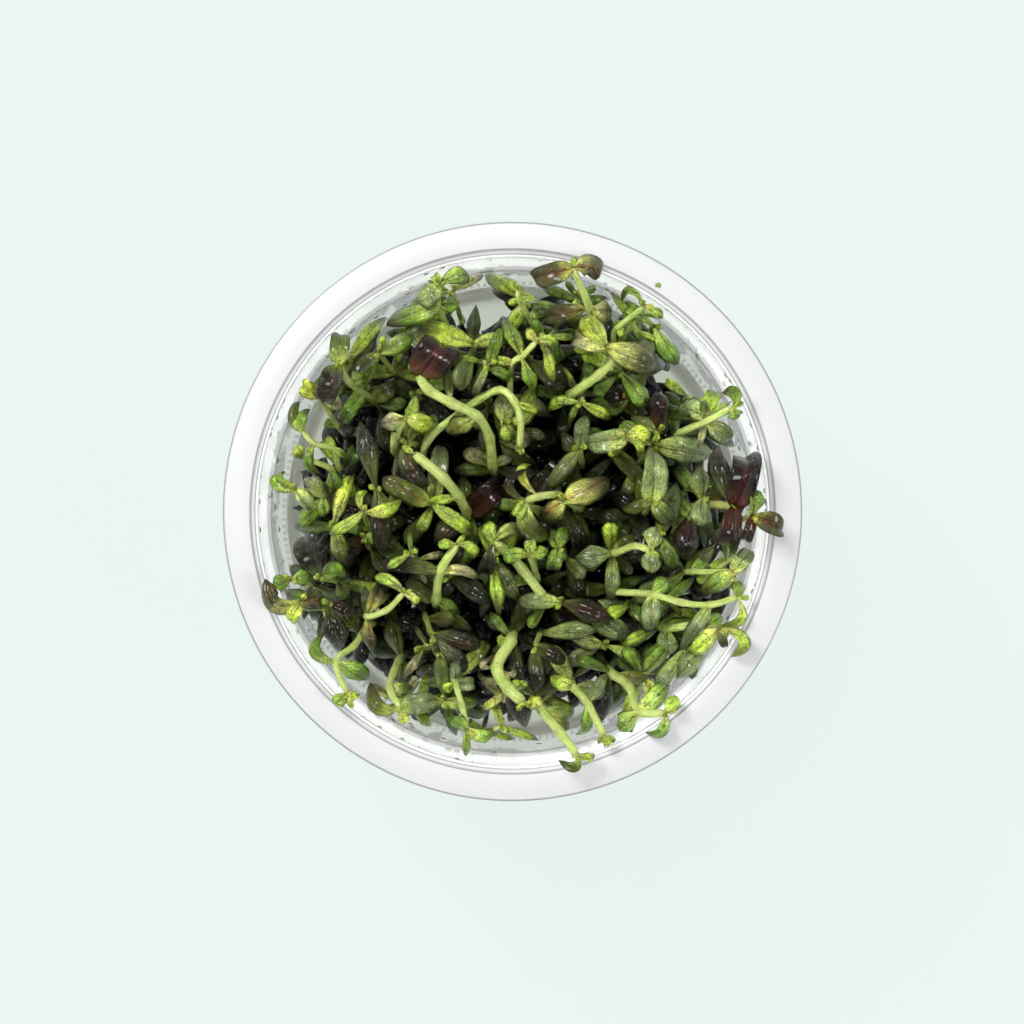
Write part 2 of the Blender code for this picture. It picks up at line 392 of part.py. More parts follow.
class Crowd:
    """What has been placed so far, each as a search tree with its box, so that the next piece clears it."""

    def __init__(self):
        self.placed = []

    def add(self, shape, owner):
        points, faces = shape
        low = Vector([min(point[axis] for point in points) for axis in range(3)])
        high = Vector([max(point[axis] for point in points) for axis in range(3)])
        self.placed.append((owner, low, high, BVHTree.FromPolygons(points, faces)))

    def clears(self, shape, owner):
        points, faces = shape
        low = [min(point[axis] for point in points) for axis in range(3)]
        high = [max(point[axis] for point in points) for axis in range(3)]
        tree = None
        for other, other_low, other_high, other_tree in self.placed:
            if other == owner:
                continue
            if any(low[axis] > other_high[axis] or high[axis] < other_low[axis] for axis in range(3)):
                continue
            tree = tree or BVHTree.FromPolygons(points, faces)
            if tree.overlap(other_tree):
                return False
        return True


def in_cup(points):
    """Whether the points stay inside the cup's wall or above its flange."""
    for point in points:
        radius = math.hypot(point.x, point.y)
        if radius > FLANGE_RADIUS - GAP:
            return False
        if point.z < CUP_HEIGHT + GAP and radius > MOUTH_RADIUS - GAP:
            return False
        if point.z < STEP_HEIGHT + WALL + GAP and radius > wall_radius(max(point.z, GEL_TOP)) - GAP:
            return False
    return True


def root_shifts():
    """The places to try for a root, from its row's own place outwards."""
    yield (0.0, 0.0)
    for distance in ROOT_SHIFTS[1:]:
        for step in range(ROOT_DIRECTIONS):
            angle = 2 * math.pi * step / ROOT_DIRECTIONS
            yield (distance * math.cos(angle), distance * math.sin(angle))


def placed_stem(row, owner, crowd):
    """The first stem of a row that clears the others, as its nodes and its line."""
    for lift in STEM_LIFTS:
        for shift in root_shifts():
            nodes, line = stem_line(row[2], shift, lift)
            shape = tube(line, row[0] * MM / 2 + GAP)
            if in_cup(line) and crowd.clears(shape, owner):
                return nodes, line
    raise RuntimeError(f"{owner} has no room for its stem")


def placed_leaf(base, leaf, owner, crowd):
    """The first form of a leaf that clears the others, or None where there is no room for one."""
    for length in LEAF_LENGTHS:
        for lift in LEAF_LIFTS:
            for turn in LEAF_TURNS:
                grown = leaf_shape(base, leaf, GAP, length, lift, turn)
                if in_cup(grown[0]) and crowd.clears(grown, owner):
                    return leaf_shape(base, leaf, 0.0, length, lift, turn)
    return None


def stem_object(name, line, width, collection):
    """The stem as a mesh, made from a bevelled curve with filled caps."""
    curve = bpy.data.curves.new(name, "CURVE")
    curve.dimensions = "3D"
    curve.bevel_depth = width * MM / 2
    curve.bevel_resolution = 1 if width > THICK_STEM else 0
    curve.use_fill_caps = True
    spline = curve.splines.new("POLY")
    spline.points.add(len(line) - 1)
    for number, (point, place) in enumerate(zip(spline.points, line)):
        point.co = (*place, 1)
        point.radius = 1 - (1 - STEM_TAPER) * number / (len(line) - 1)
    guide = bpy.data.objects.new(name + "_line", curve)
    collection.objects.link(guide)
    bpy.context.view_layer.update()
    graph = bpy.context.evaluated_depsgraph_get()
    mesh = bpy.data.meshes.new_from_object(guide.evaluated_get(graph))
    matrix = guide.matrix_world.copy()
    bpy.data.objects.remove(guide, do_unlink=True)
    shell = bmesh.new()
    shell.from_mesh(mesh)
    bmesh.ops.remove_doubles(shell, verts=shell.verts, dist=0.000001)
    bmesh.ops.recalc_face_normals(shell, faces=shell.faces)
    shell.to_mesh(mesh)
    shell.free()
    mesh.name = name
    obj = bpy.data.objects.new(name, mesh)
    obj.matrix_world = matrix
    collection.objects.link(obj)
    return obj


def blade_object(name, shape, collection):
    """One leaf as a helper for the union with its stem."""
    mesh = bpy.data.meshes.new(name)
    mesh.from_pydata(shape[0], [], shape[1])
    shell = bmesh.new()
    shell.from_mesh(mesh)
    bmesh.ops.recalc_face_normals(shell, faces=shell.faces)
    shell.to_mesh(mesh)
    shell.free()
    obj = bpy.data.objects.new(name, mesh)
    collection.objects.link(obj)
    obj.hide_render = True
    obj.display_type = "WIRE"
    return obj


def mend_union(stem):
    """Changes the solver where the exact one leaves the shoot open or loses its stem."""
    whole = max(vertex.co.z for vertex in stem.data.vertices)
    shell = bmesh.new()
    shell.from_object(stem, bpy.context.evaluated_depsgraph_get())
    shut = all(len(edge.link_faces) == 2 for edge in shell.edges)
    foot = min(vertex.co.z for vertex in shell.verts)
    top = max(vertex.co.z for vertex in shell.verts)
    shell.free()
    if shut and foot < ROOT_HEIGHT + GAP and top > whole - GAP:
        return
    for union in stem.modifiers:
        union.solver = "MANIFOLD"


def grow_shoot(number, row, crowd, finishes, parts, helpers):
    """A shoot: its stem and the leaves that have room, joined in one body."""
    name = f"shoot_{number:02d}"
    nodes, line = placed_stem(row, name, crowd)
    stem = stem_object(name, line, row[0], parts)
    stem.data.materials.clear()
    stem.data.materials.append(finishes[row[1]])
    crowd.add(tube(line, row[0] * MM / 2), name)
    for count, leaf in enumerate(row[3]):
        shape = placed_leaf(nodes[leaf[0]], leaf, name, crowd)
        if shape is None:
            continue
        crowd.add(shape, name)
        blade = blade_object(f"{name}_leaf_{count}", shape, helpers)
        union = stem.modifiers.new(blade.name, "BOOLEAN")
        union.operation = "UNION"
        union.solver = "EXACT"
        union.object = blade
    mend_union(stem)


def evaluated_shape(obj):
    """An object's points and faces with its modifiers applied."""
    graph = bpy.context.evaluated_depsgraph_get()
    mesh = obj.evaluated_get(graph).to_mesh()
    points = [vertex.co.copy() for vertex in mesh.vertices]
    faces = [tuple(face.vertices) for face in mesh.polygons]
    return points, faces


def main():
    clear_scene()
    parts = new_collection("bacopa_in_cup")
    helpers = new_collection("leaf_helpers")
    clear_plastic = material("clear_plastic", (0.86, 0.88, 0.88), 0.15, 0.35)
    gel_finish = material("gel", (0.62, 0.62, 0.52), 0.2, 0.8)
    finishes = {tone: material("leaf_" + tone, colour, 0.35) for tone, colour in COLOURS.items()}
    cup = turned("cup", cup_profile(), CUP_STEPS, clear_plastic, parts)
    gel = turned("gel", gel_profile(), GEL_STEPS, gel_finish, parts)
    bpy.context.view_layer.update()
    crowd = Crowd()
    crowd.add(evaluated_shape(cup), "cup")
    crowd.add(evaluated_shape(gel), "gel")
    for number, row in enumerate(SHOOTS, 1):
        grow_shoot(number, row, crowd, finishes, parts, helpers)


main()
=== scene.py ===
"""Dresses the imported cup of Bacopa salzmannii: fine leaves and stems, undergrowth, roots, gel and clear cup.

Layout rows are in millimetres, x to the right and y to the top of the photograph. Meshes are in metres.
"""

import math
import random

import bmesh
import bpy
from bpy.props import FloatProperty, FloatVectorProperty, IntProperty, PointerProperty
from mathutils import Matrix, Vector
from mathutils.bvhtree import BVHTree


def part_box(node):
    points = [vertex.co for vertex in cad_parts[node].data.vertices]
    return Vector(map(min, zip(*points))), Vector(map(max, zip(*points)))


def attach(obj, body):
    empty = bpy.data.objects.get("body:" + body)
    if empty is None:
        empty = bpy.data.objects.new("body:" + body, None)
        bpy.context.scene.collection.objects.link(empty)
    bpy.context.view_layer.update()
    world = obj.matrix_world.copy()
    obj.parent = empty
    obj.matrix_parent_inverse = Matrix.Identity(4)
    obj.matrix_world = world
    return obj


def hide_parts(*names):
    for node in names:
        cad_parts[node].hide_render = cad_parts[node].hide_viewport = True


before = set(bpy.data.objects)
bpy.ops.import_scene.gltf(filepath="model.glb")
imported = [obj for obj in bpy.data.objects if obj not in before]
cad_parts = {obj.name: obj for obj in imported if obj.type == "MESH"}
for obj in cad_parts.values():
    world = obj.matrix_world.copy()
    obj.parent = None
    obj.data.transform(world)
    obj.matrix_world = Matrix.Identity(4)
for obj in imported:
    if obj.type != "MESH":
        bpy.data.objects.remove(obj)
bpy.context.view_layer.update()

bl_info = {
    "name": "Bacopa in culture cup",
    "version": (1, 0, 0),
    "blender": (4, 5, 0),
    "location": "View3D > Sidebar > Bacopa",
    "description": "Builds the look of a culture cup crowded with small Bacopa salzmannii shoots",
    "category": "Add Mesh",
}

MM = 0.001
BODY = "root"

# The photograph: a square frame seen from straight above, with the flange as its scale.
PHOTO_WIDTH_PX = 1024
PHOTO_CENTRE_PX = (512.5, 511.5)
FLANGE_EDGE_PX = 290

# Cup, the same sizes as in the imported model.
_, CUP_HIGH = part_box("cup")
CUP_HEIGHT = CUP_HIGH[2]
FLANGE_RADIUS = CUP_HIGH[0]
FLANGE_WIDTH = 3.9 * MM
FLANGE_THICKNESS = 0.9 * MM
SKIRT_DEPTH = 2.0 * MM
SEAT_DROP = 0.6 * MM
MOUTH_RADIUS = 35.2 * MM
STEP_HEIGHT = 40 * MM
STEP_RADIUS = 33.6 * MM
FLOOR_RADIUS = 32.2 * MM
FLOOR_THICKNESS = 1.2 * MM
WALL = 0.9 * MM
CORNER = 1.6 * MM
GEL_TOP = 15 * MM
GAP = 0.3 * MM

# Shoots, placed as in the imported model.
LEAF_THICKNESS = 0.75 * MM
LEAF_ARCH = 0.16
LEAF_STATIONS = ((0.0, 0.32), (0.38, 1.0), (0.76, 0.78))
SHORT_STATIONS = ((0.0, 0.4), (0.5, 1.0))
SHORT_LEAF = 5.6 * MM
STEM_TAPER = 0.8
ROOT_HEIGHT = GEL_TOP + GAP
LEAF_LENGTHS = (1.0, 0.88, 0.75, 0.6)
LEAF_LIFTS = (0.0, 1.0, -1.0, 2.2, -2.2, 3.6, -3.6, 5.2, -5.2)
LEAF_TURNS = (0, 7, -7, 15, -15, 25, -25)
ROOT_SHIFTS = (0.0, 1.2, 2.4, 3.6, 4.8, 6.0, 7.5)
ROOT_DIRECTIONS = 10
LOWER_SHIFT = 0.35
STEM_LIFTS = (0.0, -1.4, 1.4, -2.8, 2.8, -4.5, 4.5, -6.5)
# A leaf between the shoots is tried in fewer places.
LOW_LENGTHS = (1.0, 0.8, 0.62)
LOW_LIFTS = (0.0, 1.4, -1.4, 3.0, -3.0)
LOW_TURNS = (0, 18, -18, 40, -40)

RECORD_SLOTS = {
    "bright": "leaf_bright",
    "green": "leaf_green",
    "olive": "leaf_olive",
    "dark": "leaf_dark",
    "maroon": "leaf_maroon",
}

# Small forms of the cup, the gel and the drops.
UP = Vector((0, 0, 1))
CORNER_ROUNDING = 0.3 * MM
FOOT_HOLLOW = 0.4 * MM
SKIN = 0.02 * MM
DROP_SIDES = 10
DROP_RINGS = ((1.0, -0.15), (0.92, 0.28), (0.62, 0.74), (0.25, 0.97))
DROP_SIZES = (0.1, 0.13, 0.17, 0.22, 0.3, 0.46)
DROP_SAG = 1.15
PLASTIC_IOR = 1.49
WATER_IOR = 1.333
GEL_IOR = 1.34

# A fine leaf's section, as shares of half its width over the top and back along the underside.
TOP_SHARES = (-1.0, -0.74, -0.42, -0.11, 0.0, 0.11, 0.42, 0.74, 1.0)
UNDER_SHARES = (0.62, 0.16, 0.0, -0.16, -0.62)
RIB_WIDTH = 0.05
LEAF_RINGS = 13
LEAF_SLOT = 1
FINE_WIDENING = 1.12
FINE_THICKNESS = 0.5 * MM
AS_DRAWN = (1.0, 0.0, 0.0)

# A fine stem's section, its nodes and its depth in the gel, and the roots at its foot.
STEM_SIDES = 10
NODE_SWELL = 0.24
NODE_RED = (0.30, 0.12, 0.05)
STEM_DEPTH = 4 * MM
ROOT_DEPTH = 3.5 * MM
ROOT_BENDS = 6
ROOT_STEP = 1.9
ROOT_WIDTHS = (0.2, 0.34)

# The tones of the leaves: the colour of each, how dark its tip is, and which grow where.
TONE_COLOURS = {
    "b": "young",
    "g": "green",
    "o": "olive",
    "d": "dark",
    "s": "silver",
    "m": "maroon",
    "y": "amber",
    "p": "pale",
    "k": "black",
    "r": "red_rib",
}
TIP_SHARES = {"b": 0.6, "g": 0.75, "p": 0.8, "y": 0.8}
LOW_TONES = ("k", "d", "d", "o", "k", "m")
MIDDLE_TONES = ("d", "o", "g", "d", "s", "o", "g")
HIGH_TONES = ("g", "b", "s", "g", "d", "s", "b", "g", "o")
SPRIG_TONES = ("b", "b", "g", "b", "g", "p")

# Painted shade on the growth: darkest up to this height, fading out over the range, less so from this radius
# outwards, and painted lighter than its tint near the top.
DARK_HEIGHT = 25.5
DARK_RANGE = 20.5
OUTER_RADIUS = 25.0
OUTER_RANGE = 6.0

# The growth between the layout's shoots is spread evenly, and keeps clear of each gap's (x, y, radius).
GOLDEN_ANGLE = math.pi * (3 - math.sqrt(5))
THICKET_REACH = 30.8
THICKET_TOPS = (33.0, 39.5)
SPRIG_REACH = 31.5
SPRIG_TOPS = (37.0, 43.0)
LITTER_REACH = 29.5
LITTER_HEIGHTS = (0.6, 6.5)
SMALL_STEM_ROOM = 0.5 * MM
LOW_LEAF_ROOM = 0.05 * MM
SHOOT_PAIRS = (18.5, 23.5, 28.5, 33.0, 37.0)
LOW_PAIRS = (20.0, 25.0, 29.5, 33.5, 37.0)
SMALL_SHIFTS = ((0.0, 0.0), (1.2, 0.4), (-0.8, 1.0), (-0.6, -1.1), (1.0, -1.4), (2.2, 1.6), (-2.0, 0.2))
GAPS_IN_GROWTH = (
    (-3.8, 28.2, 2.9),
    (25.2, 19.2, 3.6),
    (24.8, -12.4, 2.2),
    (3.2, -30.2, 3.8),
    (-27.5, 10.0, 2.0),
)

# The stage: each softbox has its place, its size, its share of the power and its colour.
FLOOR_REACH = 4.0
SOFTBOXES = (
    ("softbox_left", (-0.34, 0.36, 0.62), 0.30, 1.0, (1.0, 0.995, 0.985)),
    ("softbox_right", (0.42, -0.20, 0.58), 0.24, 0.42, (0.98, 0.99, 1.0)),
    ("softbox_top", (-0.10, 0.16, 0.80), 0.22, 0.34, (1.0, 1.0, 1.0)),
)

# A row is a shoot: its stem's width, its colour, its stem from root to tip as (x, y, z), and its leaves.
# A leaf is the number of its stem point, its tip (x, y, z), its width, its tone, and the sideways bow (x, y).
SHOOTS = (
    (1.1, "olive", ((-16, 8), (-20, 14.5, 36), (-22.5, 17.8, 45.5), (-24, 20.2, 48.5)),
     ((3, -24.4, 24.9, 49, 2.5, "o"), (3, -26.1, 14.7, 49, 2.9, "d"), (2, -20.3, 18.8, 45, 2.3, "g"),
      (1, -16, 18, 37, 2.4, "o"))),
    (0.9, "bright", ((-20, 6.5), (-24.5, 12, 36), (-26.9, 15.9, 46)),
     ((2, -30.2, 18.3, 48, 2.2, "b"), (2, -22.1, 14.2, 45.5, 2.0, "p"), (1, -27.4, 12.8, 38, 1.3, "b"),
      (1, -22, 11, 38, 2.6, "d"))),
    (0.9, "bright", ((-21, 2.5), (-24.3, 6.2, 40), (-24.9, 8.7, 45), (-27.5, 9.4, 46.5),
        (-29.1, 11.2, 47.5)),
     ((4, -27.8, 15.2, 48, 1.5, "g", -0.9, -0.3), (4, -29.5, 15.3, 47.5, 1.3, "o", -1.2, -0.4),
      (3, -26.2, 2.9, 46, 1.4, "g", -1.9, 0.8), (2, -23.2, 7.7, 45.5, 0.9, "b"))),
    (1.0, "green", ((-18, 3), (-22.6, 4.6, 34), (-25.4, 6, 41.5), (-28.8, 7.4, 44.5)),
     ((3, -30.5, 9.6, 46, 1.1, "b"), (2, -24.6, 2.2, 42, 2.4, "g"), (1, -19.4, 6.4, 38, 2.8, "d"),
      (1, -20.8, 0.8, 36, 2.6, "o"))),
    (1.0, "green", ((-23, -1), (-26.5, 2.2, 40), (-30, 3.1, 48)),
     ((2, -32.3, 6.5, 50, 2.1, "g", -1.4, -0.7), (2, -27.6, -0.3, 48, 2.2, "s"),
      (1, -28.9, 5.6, 43.5, 2.0, "p"), (1, -26.0, -2, 40, 1.9, "g"))),
    (1.2, "dark", ((-15, -1), (-17.5, 1, 34), (-19, 3.1, 43.5)),
     ((2, -21.6, 13.8, 45.5, 2.9, "d"), (2, -17.9, -7, 43, 2.5, "d"), (1, -13.6, 4.4, 37, 2.2, "o"))),
    (1.0, "bright", ((-19, -5), (-20, -2.5, 36), (-20.7, 0, 46)),
     ((2, -26.8, -4.3, 47, 1.7, "b"), (2, -19.8, 3.8, 48, 1.1, "b", -1.1, 0),
      (2, -15.2, 1.9, 47.4, 2.0, "b", 0, -1.0), (1, -24, -2.5, 38, 1.9, "g"))),
    (1.0, "dark", ((-23, -11), (-24.6, -9.8, 36), (-26.7, -9.2, 44.5)),
     ((2, -29.7, -2.2, 46.5, 3.1, "d"), (2, -23, -9.3, 45.5, 2.4, "g", 0, 1.0),
      (1, -22.6, -13, 37, 2.4, "o"))),
    (1.0, "dark", ((-18, -8), (-20.1, -5, 34), (-20.8, -3.8, 40)),
     ((2, -26.3, -6.9, 41.5, 3.4, "k"), (2, -16.4, -3.6, 39.5, 2.0, "g"), (1, -17, -9.6, 36, 2.3, "o"))),
    (0.8, "green", ((-26.5, -11), (-28.6, -10.2, 40), (-30.5, -9.3, 50.5)),
     ((2, -33.4, -10.6, 52.5, 2.3, "g"), (2, -27.3, -8.5, 50.8, 2.3, "g"))),
    (0.9, "bright", ((-23.5, -15.5), (-26.8, -13.4, 40), (-29, -12.3, 51)),
     ((2, -34, -9.2, 54, 2.3, "r", -1.4, -2.4), (2, -25.8, -12.2, 51.8, 2.6, "r"),
      (2, -30.9, -15.6, 52.6, 1.8, "b"))),
    (1.0, "dark", ((-19.5, -12), (-22.8, -11.8, 34), (-25.6, -12.8, 43)),
     ((2, -24.1, -19.9, 44, 3.5, "d"), (2, -21.2, -14.6, 42.5, 2.2, "k"), (1, -21.6, -17.2, 38, 2.3, "o"))),
    (1.1, "green", ((-17, -14.5), (-20.5, -16.3, 38), (-22, -18.6, 46), (-24.4, -20.8, 49.5),
        (-22.8, -25, 51)),
     ((3, -26, -15.8, 50.5, 1.6, "g", -2.6, -1.0), (3, -19.2, -23.7, 48, 2.8, "g"),
      (4, -25.3, -27.2, 53.6, 1.9, "b"), (4, -21, -25.4, 52, 1.4, "b"))),
    (1.3, "green", ((-13, -18), (-16, -21, 36), (-17, -24.5, 45), (-15.4, -27.1, 48.5)),
     ((3, -20.1, -23.4, 48, 2.0, "o", -1.2, -2.0), (3, -10.1, -25.9, 48.5, 2.7, "s"),
      (3, -14.6, -30.4, 50, 1.5, "b"), (2, -13.4, -24.6, 44, 1.6, "o"))),
    (1.0, "bright", ((-15.5, -10), (-18.5, -12.5, 34), (-20.3, -14.6, 42.5), (-17.5, -13.7, 44.5),
        (-15.1, -11.3, 47)),
     ((2, -19.5, -20.1, 43.5, 2.1, "r"), (2, -18.1, -9.4, 42.5, 2.1, "r"),
      (4, -20.7, -8.4, 48.5, 1.6, "b", 0.6, 0.9), (4, -13.3, -13.8, 47.5, 1.2, "b", 1.0, 0.5))),
    (1.7, "bright", ((-4, -5), (-6.2, -0.6, 36), (-7.6, 2.2, 40.5), (-9.6, 4.6, 43.5), (-13.6, 8, 45.5)),
     ((1, -11.7, -5.2, 38, 3.3, "r"), (1, -0.3, 4.7, 39, 3.5, "m"), (2, -12.6, 1.2, 41, 1.5, "b"))),
    (1.5, "bright", ((-11, -15), (-10.7, -12.5, 36), (-10.1, -8.4, 41.5), (-7.8, -4.6, 44)),
     ((2, -20.2, -7.4, 42.8, 2.0, "d", 0, 0.7), (2, -4.4, -9.8, 42, 1.6, "p", 0, 1.0),
      (3, -5.4, -8.2, 44, 1.6, "b", 1.2, 1.4), (3, -10.9, -4.4, 45, 1.4, "b"),
      (1, -7, -14.6, 37, 2.0, "g"))),
    (1.2, "bright", ((6, -3), (7, 0.8, 36), (6.2, 2.3, 43), (3.8, 2.1, 44.4), (1.8, 1.5, 44.8)),
     ((4, 2.4, 6.1, 47, 1.3, "d", -3.2, 0), (4, -0.2, -1.8, 45.5, 1.5, "b"),
      (4, 5.6, -3.1, 44, 2.5, "o", -1.6, -2.0), (3, 2.1, 9.1, 43.5, 1.4, "b", -2.2, -0.4))),
    (1.1, "bright", ((4, -12), (3.4, -9.2, 36), (2.4, -6.1, 44)),
     ((2, 2.6, -3.4, 45.5, 1.6, "b"), (2, -3, -7.9, 44.6, 2.1, "g", -0.2, 1.2),
      (2, 5.6, -5.4, 44.6, 1.9, "b"), (1, -1.8, -10.2, 38, 1.5, "g"))),
    (1.6, "bright", ((6.5, -15), (4.4, -12, 38.5), (1.4, -8.1, 41), (-0.6, -5.8, 42), (-2.6, -4.2, 43.5)),
     ((4, -4, -0.5, 45, 2.0, "b"), (4, 1.6, -3.9, 44, 1.6, "o", 0.4, 2.0),
      (4, -4.3, -9.8, 41.5, 2.1, "d"))),
    (0.9, "green", ((9, -8), (7.4, -6.5, 36), (6.4, -5.2, 42.5)),
     ((2, 7.6, -1.8, 43, 2.1, "g"), (2, 5.3, -8.6, 43, 1.9, "g"), (1, 10.4, -9.8, 39, 2.2, "s"))),
    (1.1, "green", ((-7, 20), (-8.8, 25, 36), (-10.3, 28.6, 47), (-10, 31.2, 50)),
     ((3, -4, 31.7, 51, 2.4, "g", -0.4, 1.4), (3, -13, 28.6, 49.5, 2.8, "s"),
      (3, -10.9, 32.7, 51, 1.2, "b"), (2, -6, 28.9, 46.5, 2.4, "g"), (2, -18.2, 25.9, 47, 2.7, "g"))),
    (0.9, "green", ((-13, 16.5), (-17, 20, 36), (-18.6, 22, 42.5)),
     ((2, -12.5, 25.3, 43.5, 2.5, "g"), (2, -21.4, 19.6, 42.5, 2.0, "o"), (2, -17.4, 25.6, 45, 0.9, "b"),
      (1, -13.8, 21.8, 37, 2.2, "o"))),
    (1.4, "bright", ((-13.5, 4.5), (-16.5, 8.6, 38), (-16.3, 10.8, 41.5), (-15, 13, 44)),
     ((3, -18.9, 12.1, 44.5, 2.8, "p"), (3, -10.4, 12.4, 44, 3.0, "y"))),
    (1.0, "dark", ((-11, 8.5), (-13.4, 9.4, 35), (-14.6, 9.6, 40)),
     ((2, -11.4, 3.2, 41.5, 2.7, "d", -1.6, -0.4), (2, -12.4, 14.6, 39.5, 2.0, "o"))),
    (1.6, "bright", ((-1.5, 3), (-2.8, 6.5, 36), (-3.3, 10.4, 41), (-4.9, 13.2, 44.5), (-8.4, 15, 46.5),
        (-11.6, 16.8, 47.5), (-13, 18.8, 48)),
     ((6, -8.2, 24.8, 49.5, 5.0, "m"), (4, -9.2, 21.6, 45, 1.3, "o"), (3, -9.8, 10.4, 43, 2.7, "o"),
      (1, -8.3, 9.5, 38, 2.3, "p"), (1, 0.6, 8, 37.5, 1.4, "p"))),
    (0.9, "bright", ((3, 21), (3.4, 24.9, 38), (2.1, 27.4, 42), (0.9, 29.4, 44), (0.8, 30.8, 45)),
     ((3, -1.1, 29.1, 44.3, 1.0, "b"), (3, 3.6, 29.7, 44.3, 1.0, "b"), (1, -0.6, 25, 38, 2.4, "d"),
      (2, 5.2, 28.4, 41, 2.0, "o"))),
    (1.3, "green", ((9, 20), (10.9, 24.5, 38), (10.6, 28.2, 47), (8.2, 33.6, 51.5)),
     ((3, 2.6, 32.1, 51, 2.9, "r"), (3, 12.4, 31.4, 51, 2.9, "r", 0.6, 1.2), (2, 3.2, 26.7, 46.5, 2.4, "r"),
      (2, 14.7, 27.4, 47, 4.0, "r"))),
    (1.5, "bright", ((6, 14), (8.2, 16.4, 38), (12, 19, 44.5), (14, 21.4, 46.5), (13, 22.8, 48)),
     ((4, 8.9, 28, 50.5, 3.1, "y"), (4, 7.4, 24.6, 49, 2.9, "p"), (4, 21.7, 19.4, 48.5, 3.8, "r"),
      (1, 4.6, 13.7, 38, 1.9, "b"))),
    (1.0, "bright", ((-1, 13.5), (-0.4, 17, 38), (0, 20.7, 44), (1.3, 21.5, 45), (3.4, 23.7, 46.5)),
     ((3, -1.4, 27.6, 46.5, 2.1, "g"), (3, 3.4, 15.6, 46, 2.1, "g"), (2, -2.8, 21.3, 45, 1.2, "b"),
      (4, 1.2, 25.6, 47, 1.4, "b"), (4, 6, 22.3, 47, 1.3, "b", 0.8, 0.8))),
    (1.1, "dark", ((2.5, 16.5), (2.4, 19, 34), (2.2, 21.4, 38)),
     ((2, 8.2, 16.9, 40, 2.9, "d"), (2, -3.6, 24.2, 37.5, 3.0, "d"), (1, -4.3, 19.8, 34, 3.0, "k"))),
    (1.2, "bright", ((-13.5, 1.5), (-12.8, 6.5, 34), (-11.7, 10.2, 39), (-7.3, 13.8, 41.3),
        (-4.6, 15.7, 42.2), (-1.7, 16.9, 44.5), (0.2, 15.4, 45), (1.1, 12.6, 43.5), (1, 8.9, 41)),
     ((6, 3.3, 15.7, 43, 1.3, "b", 1.4, -1.5), (7, -0.5, 12.9, 43.5, 1.3, "y"))),
    (1.0, "olive", ((-1, 6.5), (-1.4, 10, 35), (-1.1, 12.3, 40.5)),
     ((2, -1.5, 16.9, 40.5, 2.8, "s"), (2, 0.2, 9.7, 40.5, 2.3, "b"), (1, 3.3, 10.2, 37, 2.6, "p"))),
    (0.9, "bright", ((13, 20), (14.1, 23.5, 42), (14.4, 25.3, 46), (18.1, 28.2, 51)),
     ((3, 14.6, 29.1, 51, 1.0, "g", -0.2, 2.2), (3, 17.4, 26.8, 51, 1.1, "g", 3.0, -0.2),
      (3, 21.5, 26.1, 52, 1.0, "b"), (2, 16, 24.4, 46.5, 1.3, "b"))),
    (1.1, "maroon", ((17.5, 9), (19.3, 10, 35), (20.4, 11.2, 41.5)),
     ((2, 21.4, 18.5, 44, 3.0, "m"), (2, 16.4, 13.4, 41, 2.4, "o"), (1, 23.8, 8.4, 37, 2.4, "g"))),
    (1.0, "dark", ((14.5, 12), (15.4, 14.6, 34), (16.2, 16, 38)),
     ((2, 18.7, 19.6, 40, 3.1, "s"), (2, 11.6, 16.6, 38.5, 2.8, "k"), (1, 10.7, 15.2, 35, 2.6, "g"),
      (1, 19.4, 13.8, 36, 2.4, "o"))),
    (1.2, "green", ((19, 6), (22.4, 10.2, 43), (26.6, 12.4, 50.5), (30.3, 14.3, 52.5)),
     ((2, 23, 14, 50.5, 2.5, "s", 0.2, 1.0), (2, 26.6, 15.9, 51, 1.4, "o"), (2, 30.9, 9.3, 51.6, 2.5, "s"),
      (3, 28.8, 16.5, 53.5, 1.7, "g", 1.2, 0.8), (3, 31.1, 12.1, 53.2, 2.1, "g"))),
    (1.0, "bright", ((13, 6), (14.8, 8.6, 38), (15.7, 10.2, 46)),
     ((2, 9.8, 9.5, 46, 2.7, "s"), (2, 19.8, 10.7, 46.5, 2.7, "b"), (2, 17.9, 6.6, 48, 1.3, "b", 0.9, 0.8),
      (1, 13, 7.6, 41, 1.4, "b"))),
    (1.1, "dark", ((17, 4.5), (18.3, 7.4, 36), (19.7, 9.2, 41.5)),
     ((2, 28, 7.7, 44.5, 3.5, "s"), (2, 12.4, 13, 41, 2.6, "g"), (1, 22.7, 6.3, 38.5, 1.3, "b"))),
    (1.3, "maroon", ((24.5, 1), (26.8, 1, 40), (28.5, 0.9, 49.5), (30.5, 0.7, 52)),
     ((3, 28.3, 10, 52.8, 3.0, "d", -1.0, 0), (3, 32.6, 9.2, 53.6, 3.6, "m", 0.6, 0),
      (3, 29.6, -7, 52.4, 2.7, "m"))),
    (1.0, "bright", ((27, -3), (30.2, -1.8, 42), (32.9, -0.6, 53.4)),
     ((2, 38.3, -3.3, 53, 3.0, "r"), (2, 33.9, 4.4, 54, 2.8, "g"), (2, 31.8, -5.3, 53, 1.5, "m"))),
    (1.0, "green", ((23, 4), (25.2, 3.2, 38), (26.4, 2.1, 46)),
     ((2, 26, 6.8, 48.5, 3.2, "s"), (2, 27.3, -2.8, 47.5, 3.2, "s"), (1, 23.4, 3.4, 42, 1.8, "g"),
      (1, 22.3, 7.2, 36, 2.0, "g"))),
    (1.0, "bright", ((17, -1), (18.6, 0, 38), (19.4, 1.4, 44.5)),
     ((2, 19.5, 9, 47, 3.5, "s"), (2, 22.7, -2.4, 44.5, 2.6, "o"), (2, 15, 0.2, 44, 1.8, "o"),
      (1, 13.2, 3.2, 38, 2.6, "k"))),
    (1.2, "dark", ((22.5, -5), (23, -2.7, 36), (24.9, -0.9, 41.5)),
